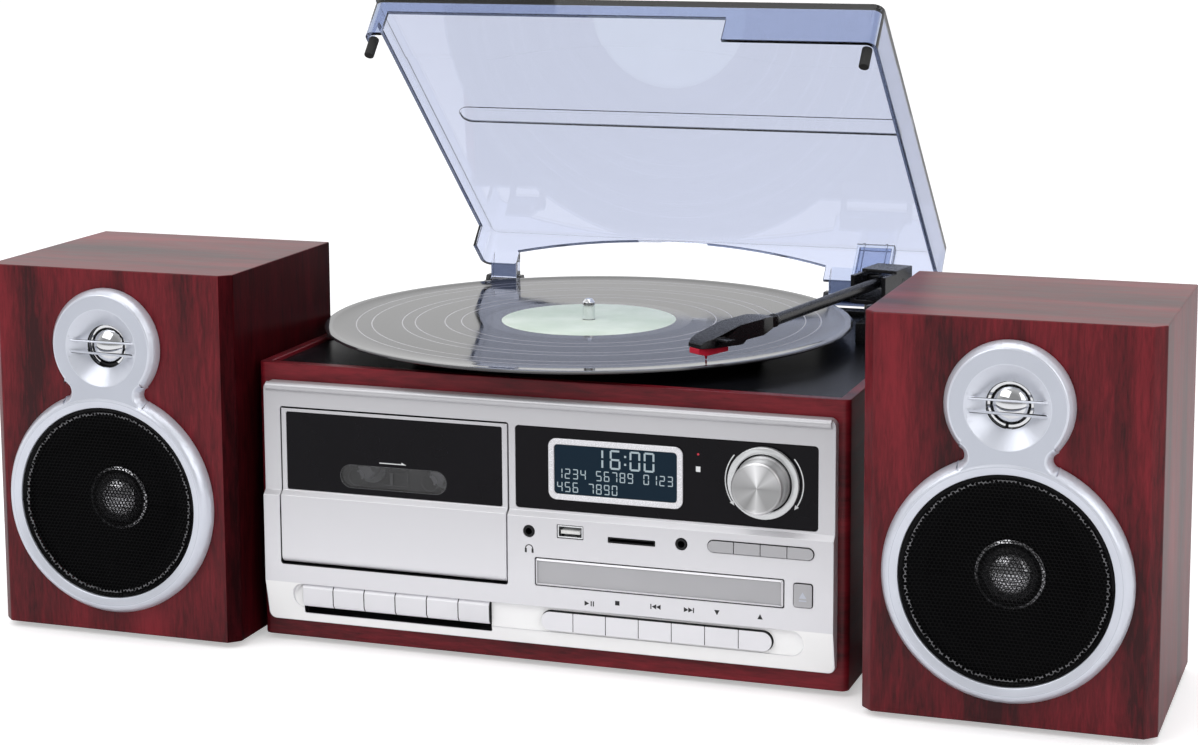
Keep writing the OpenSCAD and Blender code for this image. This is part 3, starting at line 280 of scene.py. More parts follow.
def grain(tree, scale, detail=4.0, roughness=0.6, distortion=0.0):
    """Noise on Object coordinates, stretched by scale, in repeats a metre."""
    where = add(tree, "ShaderNodeTexCoord")
    place = add(tree, "ShaderNodeMapping", {"Scale": scale})
    noise = add(tree, "ShaderNodeTexNoise", {
        "Scale": 1.0, "Detail": detail, "Roughness": roughness, "Distortion": distortion})
    tree.links.new(where.outputs["Object"], place.inputs["Vector"])
    tree.links.new(place.outputs["Vector"], noise.inputs["Vector"])
    return noise.outputs["Fac"]


def ramp(tree, factor, *stops):
    """A colour ramp over a factor, each stop a position and a colour."""
    made = add(tree, "ShaderNodeValToRGB")
    colours = made.color_ramp.elements
    while len(colours) < len(stops):
        colours.new(0.5)
    for element, (position, colour) in zip(colours, stops):
        element.position = position
        element.color = (*colour, 1)
    tree.links.new(factor, made.inputs["Fac"])
    return made.outputs["Color"]


def bump(tree, surface, height, strength, distance):
    """Drives the shader's normal from a height, over a distance in metres."""
    made = add(tree, "ShaderNodeBump", {"Strength": strength, "Distance": distance})
    tree.links.new(height, made.inputs["Height"])
    tree.links.new(made.outputs["Normal"], surface.inputs["Normal"])


def roughen(tree, surface, factor, low, high):
    """Varies the roughness between two values."""
    spread = add(tree, "ShaderNodeMapRange", {"To Min": low, "To Max": high})
    tree.links.new(factor, spread.inputs["Value"])
    tree.links.new(spread.outputs["Result"], surface.inputs["Roughness"])


def shade(colour, factor):
    """A colour made lighter or darker."""
    return tuple(min(channel * factor, 1) for channel in colour)


def veneer(name, upright, depth):
    """Red mahogany foil: broad and fine streaks, along Z where upright, else along X and Y."""
    look = sizes("music_wood")
    # a depth under one is painted shade: it darkens the colours and lowers the gloss
    material, tree, surface = shader(
        name, look.middle, 0.34, Specular_IOR_Level=0.26 * depth * depth)
    across, along = 1 / look.streak_width, 1 / look.streak_length
    side = (across, across, along) if upright else (along, along, across)
    top = (along, across, along)
    flat = add(tree, "ShaderNodeTexCoord")
    parts = add(tree, "ShaderNodeSeparateXYZ")
    tree.links.new(flat.outputs["Normal"], parts.inputs["Vector"])
    size = add(tree, "ShaderNodeMath", operation="ABSOLUTE")
    tree.links.new(parts.outputs["Z"], size.inputs[0])
    facing_up = add(tree, "ShaderNodeMath", {1: 0.7}, operation="GREATER_THAN")
    tree.links.new(size.outputs[0], facing_up.inputs[0])

    def streaks(fineness, detail, roughness):
        """Streaks along the sides, and along the depth on faces that look up."""
        mix = add(tree, "ShaderNodeMix", data_type="FLOAT")
        tree.links.new(facing_up.outputs[0], mix.inputs["Factor"])
        for socket, scale in ((2, side), (3, top)):
            stretched = [value * fineness for value in scale]
            tree.links.new(
                grain(tree, stretched, detail=detail, roughness=roughness, distortion=0.4),
                mix.inputs[socket])
        return mix.outputs[0]

    broad = streaks(1, 4, 0.55)
    fine = streaks(13, 3, 0.7)
    blend = add(tree, "ShaderNodeMix", {"Factor": 0.36}, data_type="FLOAT")
    tree.links.new(broad, blend.inputs[2])
    tree.links.new(fine, blend.inputs[3])
    tree.links.new(
        ramp(tree, blend.outputs[0], (0.37, shade(look.dark, depth)),
             (0.50, shade(look.middle, depth)), (0.64, shade(look.light, depth))),
        surface.inputs["Base Color"])
    roughen(tree, surface, fine, 0.28, 0.42)
    bump(tree, surface, fine, 0.10, 0.0001)
    return material


def paint_flakes(tree, surface, roughness):
    """The sparkle of metallic paint."""
    flakes = grain(tree, (2600, 2600, 2600), detail=1)
    roughen(tree, surface, flakes, roughness - 0.05, roughness + 0.06)
    bump(tree, surface, flakes, 0.05, 0.00005)


def lacquer(name, tint, roughness, metallic):
    """Moulded plastic under metallic paint, its colour a share of the silver's in each channel."""
    colour = tuple(
        min(silver * share, 1) for silver, share in zip(sizes("music_front").silver, tint))
    material, tree, surface = shader(
        name, colour, roughness, metallic, Coat_Weight=0.25, Coat_Roughness=0.18)
    slow = grain(tree, (18, 18, 18), detail=2)
    tree.links.new(
        ramp(tree, slow, (0.3, shade(colour, 0.95)), (0.7, shade(colour, 1.04))),
        surface.inputs["Base Color"])
    paint_flakes(tree, surface, roughness)
    return material


def silver_lacquer(name):
    """Silver paint of the bezel and door, painted darker towards the top: a painted reflection of
    the pale floor lightens its lower part.
    """
    silver = sizes("music_front").silver
    material, tree, surface = shader(
        name, silver, 0.34, 0.35, Coat_Weight=0.25, Coat_Roughness=0.18)
    where = add(tree, "ShaderNodeTexCoord")
    parts = add(tree, "ShaderNodeSeparateXYZ")
    rise = add(tree, "ShaderNodeMapRange", {"From Min": mm(52), "From Max": mm(146)})
    tree.links.new(where.outputs["Object"], parts.inputs["Vector"])
    tree.links.new(parts.outputs["Z"], rise.inputs["Value"])
    # painted reflection: full silver near the foot, shading off towards the top
    tree.links.new(
        ramp(tree, rise.outputs["Result"], (0.0, silver), (0.42, shade(silver, 0.84)),
             (1.0, shade(silver, 0.66))),
        surface.inputs["Base Color"])
    paint_flakes(tree, surface, 0.34)
    return material


def moulding(name, colour, roughness, pebble, specks=1500, gloss=0.5, metallic=0.0):
    """Coloured plastic with a fine moulded texture and faint unevenness."""
    material, tree, surface = shader(
        name, colour, roughness, metallic, Specular_IOR_Level=gloss)
    slow = grain(tree, (30, 30, 30), detail=3)
    tree.links.new(
        ramp(tree, slow, (0.3, shade(colour, 0.88)), (0.7, shade(colour, 1.14))),
        surface.inputs["Base Color"])
    fine = grain(tree, (specks, specks, specks), detail=2)
    roughen(tree, surface, fine, roughness * 0.85, roughness * 1.2)
    bump(tree, surface, fine, pebble, 0.00008)
    return material


def metal(name, colour, roughness, scale, strength=0.1):
    """Metal with fine brushing, stretched by scale, in repeats a metre."""
    material, tree, surface = shader(name, colour, roughness, 1.0)
    lines = grain(tree, scale, detail=3)
    roughen(tree, surface, lines, roughness * 0.8, roughness * 1.25)
    bump(tree, surface, lines, strength, 0.00004)
    return material


def spun(name, colour, roughness, wedges=()):
    """Aluminium turned on a lathe: light drawn out round its axis, and painted highlights in
    wedges on the face.
    """
    material, tree, surface = shader(name, colour, roughness, 0.60, Anisotropic=0.6)
    round_it = add(tree, "ShaderNodeTangent", direction_type="RADIAL", axis="Y")
    tree.links.new(round_it.outputs["Tangent"], surface.inputs["Tangent"])
    roughen(tree, surface, grain(tree, (900, 900, 900)), roughness * 0.9, roughness * 1.1)
    if wedges:
        centre = middle("volume_knob")
        where = add(tree, "ShaderNodeTexCoord")
        face_on = add(tree, "ShaderNodeMapping", {
            "Location": (-centre.x, -centre.z, centre.y), "Rotation": (-math.pi / 2, 0, 0)})
        sweep = add(tree, "ShaderNodeTexGradient", gradient_type="RADIAL")
        tree.links.new(where.outputs["Object"], face_on.inputs["Vector"])
        tree.links.new(face_on.outputs["Vector"], sweep.inputs["Vector"])
        # painted highlight: brighter and darker wedges painted into the colour round the face
        tree.links.new(
            ramp(tree, sweep.outputs["Fac"], *(
                (turn, shade(colour, level)) for turn, level in wedges)),
            surface.inputs["Base Color"])
    return material


GROOVE_BAND = 0.0047  # width of a band of grooves, in metres


def vinyl(name):
    """Grooved record black: bands of finer and coarser grooves about the spindle."""
    material, tree, surface = shader(
        name, (0.0065, 0.0065, 0.0085), 0.10, Specular_IOR_Level=0.46)
    where = add(tree, "ShaderNodeTexCoord")
    place = add(tree, "ShaderNodeMapping", {"Location": -middle("record")})
    wave = add(tree, "ShaderNodeTexWave", {
        "Scale": 1 / (20 * GROOVE_BAND), "Distortion": 1.4, "Detail": 2.0, "Detail Scale": 3.0},
        wave_type="RINGS", rings_direction="Z")
    tree.links.new(where.outputs["Object"], place.inputs["Vector"])
    tree.links.new(place.outputs["Vector"], wave.inputs["Vector"])
    bands = wave.outputs["Fac"]
    roughen(tree, surface, bands, 0.05, 0.11)
    tree.links.new(
        ramp(tree, bands, (0.2, (0.0035, 0.0035, 0.0050)), (0.8, (0.016, 0.016, 0.020))),
        surface.inputs["Base Color"])
    return material


def label_paper(name):
    """Matt paper of the record's label."""
    return moulding(name, sizes("music_deck").label_colour, 0.55, 0.10, 900.0)


def clear(name, colour, roughness=0.02, gloss=0.5):
    """See-through acrylic, tinted, with faint waviness."""
    material, tree, surface = shader(
        name, colour, roughness, Transmission_Weight=1.0, IOR=1.49, Specular_IOR_Level=gloss)
    bump(tree, surface, grain(tree, (24, 24, 24), detail=1), 0.03, 0.0003)
    return material


def glow(name, colour, strength, roughness):
    """A lit surface that still takes gloss from its room."""
    material, tree, surface = shader(
        name, shade(colour, 0.3), roughness, Specular_IOR_Level=0.12)
    surface.inputs["Emission Color"].default_value = (*colour, 1)
    surface.inputs["Emission Strength"].default_value = strength
    fine = grain(tree, (2500, 2500, 2500), detail=1)
    roughen(tree, surface, fine, roughness * 0.9, roughness * 1.1)
    return material


def lcd_ground(name):
    """Blue-black field of the display."""
    return glow(name, sizes("music_front").lcd, 1.0, 0.20)


def lcd_digits(name):
    """Pale lit segments of the display."""
    return glow(name, sizes("music_front").lcd_ink, 0.62, 0.40)


KNOB_PAINTED_HIGHLIGHTS = (  # painted highlights: turn round the face, and how bright the painted colour is there
    (0.0, 0.50), (0.10, 0.74), (0.17, 0.56), (0.245, 1.30), (0.33, 0.66), (0.50, 0.46),
    (0.60, 0.80), (0.66, 0.58), (0.76, 1.30), (0.85, 0.64), (1.0, 0.50))

FINISHES = {
    # veneer: whether the grain stands upright, and its depth of colour, under one being painted
    # shade
    "upright_veneer": (veneer, True, 1.0),  # speakers
    "shaded_veneer": (veneer, True, 0.32),  # painted shade on the speaker's side close to the cabinet
    "level_veneer": (veneer, False, 1.0),  # cabinet
    # silver paint: share of the silver in each channel, roughness, metallic
    "silver_lacquer": (silver_lacquer,),  # bezel and cassette door
    "frame_lacquer": (lacquer, (0.95, 0.95, 0.95), 0.26, 0.35),  # display's frame
    "trim_lacquer": (lacquer, (0.88, 0.92, 0.98), 0.30, 0.45),  # speaker trims' slopes
    "trim_face": (lacquer, (0.70, 0.74, 0.80), 0.42, 0.30),  # their level front, eject mark
    "channel_lacquer": (lacquer, (1.25, 1.25, 1.25), 0.42, 0.0),  # channel behind the keys
    "button_lacquer": (lacquer, (1.03, 1.03, 1.03), 0.38, 0.15),  # keys and buttons
    "tray_lacquer": (lacquer, (0.57, 0.57, 0.57), 0.36, 0.30),  # drawer, greyer buttons
    # moulded plastic: colour, roughness, depth of texture, specks a metre, gloss
    "piano_black": (moulding, (0.0036, 0.0030, 0.0046), 0.09, 0.01, 1500, 0.13),
    "deck_black": (moulding, (0.0050, 0.0052, 0.0066), 0.24, 0.02, 1500, 0.06),
    "satin_black": (moulding, (0.0080, 0.0080, 0.0095), 0.26, 0.08, 1500, 0.35),
    "grained_black": (moulding, (0.014, 0.014, 0.016), 0.50, 0.45, 900, 0.3),
    "socket_black": (moulding, (0.006, 0.006, 0.007), 0.30, 0.05, 1500, 0.3),
    "rubber": (moulding, (0.014, 0.014, 0.014), 0.75, 0.30, 1200),
    "grey_mechanism": (moulding, (0.045, 0.047, 0.052), 0.45, 0.15),
    "spool_white": (moulding, (0.62, 0.63, 0.64), 0.35, 0.05),
    "stylus_red": (moulding, (0.58, 0.018, 0.045), 0.28, 0.04),
    "socket_red": (moulding, (0.45, 0.02, 0.02), 0.35, 0.05),
    "socket_white": (moulding, (0.75, 0.75, 0.74), 0.35, 0.05),
    "circuit_green": (moulding, (0.02, 0.11, 0.045), 0.35, 0.15, 700),
    "dark_mesh": (moulding, (0.0018, 0.0018, 0.0024), 0.45, 0.05, 2500, 0.12),
    "mesh_shine": (moulding, (0.17, 0.17, 0.18), 0.25, 0.05, 2500, 0.9),  # painted highlight where it bends, also glossier
    "cone_paper": (moulding, (0.0025, 0.0025, 0.0030), 0.5, 0.35, 800, 0.1),
    "cap_gloss": (moulding, (0.46, 0.46, 0.48), 0.10, 0.01, 1500, 0.5, 0.9),  # dust caps
    "vinyl": (vinyl,),  # grooved bands of the record
    "smooth_vinyl": (moulding, (0.030, 0.030, 0.034), 0.10, 0.01, 1500, 0.8),  # its rim
    "bright_gap": (moulding, (0.40, 0.39, 0.42), 0.20, 0.01, 1500, 0.8),  # painted sheen on the smooth rings between tracks
    "label_paper": (label_paper,),
    # print
    "white_ink": (moulding, (0.72, 0.73, 0.74), 0.5, 0.05),
    "pane_ink": (moulding, (0.075, 0.075, 0.080), 0.3, 0.02),  # lines moulded in the window
    "dark_ink": (moulding, (0.012, 0.012, 0.014), 0.5, 0.05),
    # metal: colour, roughness, brushing in lines a metre, its depth
    "sheet_steel": (metal, (0.52, 0.53, 0.54), 0.38, (30, 1400, 1400)),
    "motor_steel": (metal, (0.46, 0.46, 0.48), 0.32, (900, 900, 60)),
    "core_steel": (metal, (0.26, 0.22, 0.18), 0.5, (40, 40, 1600), 0.5),  # laminations
    "chrome": (metal, (0.80, 0.81, 0.83), 0.09, (400, 400, 400), 0.01),
    # the knob's face carries painted highlights in wedges
    "spun_knob": (spun, (0.74, 0.74, 0.75), 0.30, KNOB_PAINTED_HIGHLIGHTS),
    "spun_ring": (spun, (0.74, 0.75, 0.76), 0.26),
    # clear plastic: colour, roughness, gloss
    "lid_clear": (clear, (0.60, 0.64, 0.78)),
    "lid_deep": (clear, (0.40, 0.47, 0.66)),  # skirts and pocket, seen through more of it
    "lid_edge": (clear, (0.020, 0.028, 0.060), 0.06),  # rims, seen through their whole depth
    "window_smoke": (clear, (0.46, 0.46, 0.48), 0.04, 0.4),
    "lcd_ground": (lcd_ground,),
    "lcd_digits": (lcd_digits,),
}


def finish(named):
    """The material of a named finish, made only once."""
    name = "music_" + named
    made_by, *values = FINISHES[named]
    return bpy.data.materials.get(name) or made_by(name, *values)


# Shaping

MERGE = 0.00001  # distance under which vertices are one, in metres
SMOOTH = math.radians(32)  # edges flatter than this are shaded smooth
FLAT = math.radians(1)  # faces flatter than this are joined
SHARP = math.radians(35)  # edges sharper than this are rounded


def wrap_up(bm, name, body, *finishes, replaces=(), slot=None):
    """Makes a mesh object of the bmesh, shades it, and rides it on its body."""
    mesh = bpy.data.meshes.new(name)
    bm.to_mesh(mesh)
    bm.free()
    for named in finishes:
        mesh.materials.append(finish(named))
    mesh.shade_smooth()
    mesh.set_sharp_from_angle(angle=SMOOTH)
    piece = bpy.data.objects.new(name, mesh)
    bpy.context.scene.collection.objects.link(piece)
    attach(piece, body)
    if replaces:
        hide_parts(*replaces)
    return piece


def tidy_mesh(bm, distance=MERGE):
    """Merges doubles and turns the faces outwards."""
    bmesh.ops.remove_doubles(bm, verts=bm.verts, dist=distance)
    bmesh.ops.recalc_face_normals(bm, faces=bm.faces)


def merged_copy(node):
    """A bmesh of a CAD node with its loose triangles merged and flat faces joined."""
    bm = bmesh.new()
    bm.from_mesh(frame["nodes"][node].data)
    bmesh.ops.remove_doubles(bm, verts=bm.verts, dist=MERGE)
    bmesh.ops.dissolve_limit(
        bm, angle_limit=FLAT, verts=bm.verts, edges=bm.edges, use_dissolve_boundaries=False)
    return bm


def round_edges(bm, width, segments=2):
    """Bevels every sharp edge."""
    sharp = [
        edge for edge in bm.edges
        if len(edge.link_faces) == 2 and edge.calc_face_angle(0) > SHARP
    ]
    bmesh.ops.bevel(
        bm, geom=sharp, offset=width, offset_type="OFFSET", segments=segments, profile=0.5,
        affect="EDGES", clamp_overlap=False, material=-1)


def dress(node, *finishes, width=None, segments=2, pick=None, shape=None, even=True):
    """Replaces a CAD node by a copy with rounded edges, each face in the finish picked for it."""
    bm = merged_copy(node)
    edge = sizes("music_front").edge if width is None else width
    if edge:
        round_edges(bm, edge, segments)
    if shape:
        shape(bm)
    if pick:
        for face in bm.faces:
            face.material_index = pick(unit(face.calc_center_median()), face.normal)
    piece = wrap_up(bm, node + "_dressed", BODY_OF[node], *finishes, replaces=(node,))
    if even:
        weighted = piece.modifiers.new("even_shading", "WEIGHTED_NORMAL")
        weighted.keep_sharp = True
    return piece


def painted_shade_sides(place, normal):
    """Black on a button's sides as painted shade, where they stand in its opening's shade."""
    return 1 if abs(normal.y) < 0.3 else 0


def painted_shade_flanks(place, normal):
    """Black as painted shade on the sides where two keys meet."""
    return 1 if abs(normal.x) > 0.9 else 0


def coat(node, named):
    """Gives a carried-over CAD node its finish."""
    mesh = frame["nodes"][node].data
    mesh.materials.clear()
    mesh.materials.append(finish(named))


def spin_up(bm, outline, centre, axis, steps):
    """Spins an outline of (radius, height) points in metres about an axis through centre."""
    side, up = Vector((1, 0, 0)), Vector(axis)
    line = [bm.verts.new(centre + side * radius + up * height) for radius, height in outline]
    edges = [bm.edges.new(pair) for pair in zip(line, line[1:])]
    bmesh.ops.spin(
        bm, geom=line + edges, cent=centre, axis=up, angle=math.tau, steps=steps,
        use_merge=True)
    tidy_mesh(bm)


def vertices(parts):
    """The vertices among a bmesh operator's results."""
    return [part for part in parts if isinstance(part, bmesh.types.BMVert)]


def stamp(bm, outline, plane, height):
    """Adds a flat raised mark: an outline of (x, z) millimetres on the upright plane y."""
    face = bm.faces.new([bm.verts.new(at(x, plane, z)) for x, z in outline])
    raised = bmesh.ops.extrude_face_region(bm, geom=[face])["geom"]
    bmesh.ops.translate(bm, vec=(0, -height, 0), verts=vertices(raised))


def oblong(x, z, width, height):
    """The outline of an upright rectangle about a point."""
    left, right, low, high = x - width / 2, x + width / 2, z - height / 2, z + height / 2
    return [(left, low), (right, low), (right, high), (left, high)]


def arc(x, z, inner, outer, start, end, steps=24):
    """The outline of a part of a ring, its angles in degrees."""
    turns = [math.radians(start + (end - start) * i / steps) for i in range(steps + 1)]
    outward = [(x + outer * math.cos(a), z + outer * math.sin(a)) for a in turns]
    inward = [(x + inner * math.cos(a), z + inner * math.sin(a)) for a in reversed(turns)]
    return outward + inward


def marks(name, named, node, plane, outlines, height=None):
    """One mesh of flat marks on an upright plane, riding with a node."""
    bm = bmesh.new()
    for outline in outlines:
        stamp(bm, outline, plane, height or sizes("music_front").ink)
    tidy_mesh(bm, 0.000001)
    return wrap_up(bm, name, BODY_OF[node], named, slot=SLOT_OF[node])


# Stage

def seen_directly(tree):
    """One for what the camera sees itself or through clear plastic, else nought."""
    path = add(tree, "ShaderNodeLightPath")
    seen = add(tree, "ShaderNodeMath", operation="MAXIMUM")
    tree.links.new(path.outputs["Is Camera Ray"], seen.inputs[0])
    tree.links.new(path.outputs["Is Transmission Ray"], seen.inputs[1])
    return seen.outputs[0]


def soft_light(name, place, size, power, target):
    """A rectangular lamp turned towards a point."""
    lamp = bpy.data.lights.new(name, "AREA")
    lamp.shape = "RECTANGLE"
    lamp.size, lamp.size_y = size
    lamp.energy = power
    thing = bpy.data.objects.new(name, lamp)
    thing.location = place
    thing.rotation_euler = (target - thing.location).to_track_quat("-Z", "Y").to_euler()
    bpy.context.scene.collection.objects.link(thing)


class STAGE_OT_music(bpy.types.Operator):
    """Makes the floor, the lights, the white surroundings and the camera."""
    bl_idname = "music.stage"
    bl_label = "Stage"

    def execute(self, context):
        setup = sizes("music_stage")
        context.scene.view_settings.view_transform = "Standard"
        self.floor(setup)
        self.surroundings(context, setup)
        heart = (CAD_BOX[0] + CAD_BOX[1]) / 2
        soft_light("key", Vector((-0.9, -1.7, 1.7)), (1.8, 1.2), setup.key_power, heart)
        soft_light("fill", Vector((1.7, -1.0, 1.0)), (1.0, 1.4), setup.fill_power, heart)
        soft_light("overhead", Vector((0.1, 0.0, 2.1)), (1.6, 1.6), setup.top_power, heart)
        self.camera(context, setup)
        return {"FINISHED"}

    def floor(self, setup):
        """A pale floor just under the feet, lifted to white where it is seen directly."""
        bm = bmesh.new()
        bmesh.ops.create_grid(bm, x_segments=1, y_segments=1, size=6)
        bmesh.ops.translate(bm, vec=(0, 0, -mm(0.3)), verts=bm.verts)
        mesh = bpy.data.meshes.new("floor")
        bm.to_mesh(mesh)
        bm.free()
        material, tree, surface = shader("pale_floor", setup.floor_colour, 0.6)
        surface.inputs["Emission Color"].default_value = (1, 1, 1, 1)
        lift = add(tree, "ShaderNodeMath", {1: setup.floor_lift}, operation="MULTIPLY")
        tree.links.new(seen_directly(tree), lift.inputs[0])
        tree.links.new(lift.outputs[0], surface.inputs["Emission Strength"])
        tree.links.new(
            ramp(tree, grain(tree, (9, 9, 9)), (0.3, shade(setup.floor_colour, 0.99)),
                 (0.7, shade(setup.floor_colour, 1.01))),
            surface.inputs["Base Color"])
        mesh.materials.append(material)
        ground = bpy.data.objects.new("floor", mesh)
        bpy.context.scene.collection.objects.link(ground)

    def surroundings(self, context, setup):
        """Even light from all round, a shaded room for gloss, and white where it is seen."""
        world = bpy.data.worlds.new("surroundings")
        context.scene.world = world
        world.use_nodes = True
        tree = world.node_tree
        lit = tree.nodes["Background"]
        lit.inputs["Color"].default_value = (1, 1, 1, 1)
        lit.inputs["Strength"].default_value = setup.ambient
        path = add(tree, "ShaderNodeLightPath")
        way = add(tree, "ShaderNodeTexCoord")
        parts = add(tree, "ShaderNodeSeparateXYZ")
        tree.links.new(way.outputs["Generated"], parts.inputs["Vector"])
        room = add(tree, "ShaderNodeMapRange", {
            "From Min": -0.75, "From Max": 0.05, "To Min": setup.front_gloss, "To Max": 1.0})
        tree.links.new(parts.outputs["Y"], room.inputs["Value"])
        gloss = add(tree, "ShaderNodeBackground", {"Color": (1, 1, 1, 1)})
        tree.links.new(room.outputs["Result"], gloss.inputs["Strength"])
        white = add(tree, "ShaderNodeBackground", {"Color": (1, 1, 1, 1), "Strength": 1.0})
        for ray, shown in ((path.outputs["Is Glossy Ray"], gloss), (seen_directly(tree), white)):
            mix = add(tree, "ShaderNodeMixShader")
            tree.links.new(ray, mix.inputs[0])
            tree.links.new(lit.outputs[0], mix.inputs[1])
            tree.links.new(shown.outputs[0], mix.inputs[2])
            lit = mix
        tree.links.new(lit.outputs[0], tree.nodes["World Output"].inputs["Surface"])

    def camera(self, context, setup):
        """The camera, level but for its roll, at the place and turn of the settings."""
        lens = bpy.data.cameras.new("camera")
        lens.lens = setup.lens
        lens.sensor_width = 36
        lens.shift_y = setup.shift
        lens.clip_end = 50
        yaw, pitch = setup.camera_yaw, setup.camera_pitch
        forward = Vector((
            -math.sin(yaw) * math.cos(pitch), math.cos(yaw) * math.cos(pitch),
            math.sin(pitch)))
        level = Vector((math.cos(yaw), math.sin(yaw), 0))
        up = level.cross(forward)
        right = level * math.cos(setup.camera_roll) + up * math.sin(setup.camera_roll)
        up = right.cross(forward)
        turn = Matrix((right, up, -forward)).transposed()
        camera = bpy.data.objects.new("camera", lens)
        camera.matrix_world = Matrix.Translation(setup.camera_place) @ turn.to_4x4()
        context.scene.collection.objects.link(camera)
        context.scene.camera = camera


# Cabinet and front

class CABINET_OT_music(bpy.types.Operator):
    """Dresses the wooden cabinet, its deck, rear panel, boards and feet."""
    bl_idname = "music.cabinet"
    bl_label = "Cabinet"

    def execute(self, context):
        dress("cabinet_shell", "level_veneer", width=sizes("music_wood").edge)
        dress("deck_plate", "deck_black")
        dress("rear_panel", "grained_black")
        dress("feet", "rubber", width=mm(0.6))
        dress("main_board", "circuit_green", "socket_black", "socket_red", "socket_white", width=0,
              pick=self.rear_socket)
        coat("chassis", "sheet_steel")
        coat("transformer", "core_steel")
        coat("platter_motor", "motor_steel")
        self.screws()
        return {"FINISHED"}

    def rear_socket(self, place, normal):
        """Board green, or the plastic of the sockets that stand on it."""
        corner = corners("main_board")[0]
        red_jack, white_jack, jack_radius = corner.x + 70, corner.x + 88, 4.6
        if place.y > corners("rear_panel")[1].y + 0.8:
            if abs(place.x - red_jack) < jack_radius:
                return 2
            if abs(place.x - white_jack) < jack_radius:
                return 3
        board_top = corner.z + 1.7
        return 1 if place.z > board_top else 0

    def screws(self):
        """Small round-headed screws along the rear panel's upper and lower edges."""
        low, high = corners("rear_panel")
        head = [(0, mm(1.3)), (mm(1.6), mm(1.1)), (mm(2.8), mm(0.4)), (mm(2.9), 0)]
        bm = bmesh.new()
        for x in (low.x + 6, 0, high.x - 6):
            for z in (low.z + 5, high.z - 5):
                spin_up(bm, head, at(x, high.y, z), (0, 1, 0), 20)
        wrap_up(bm, "rear_screws", "base", "motor_steel", slot=SLOT_OF["rear_panel"])


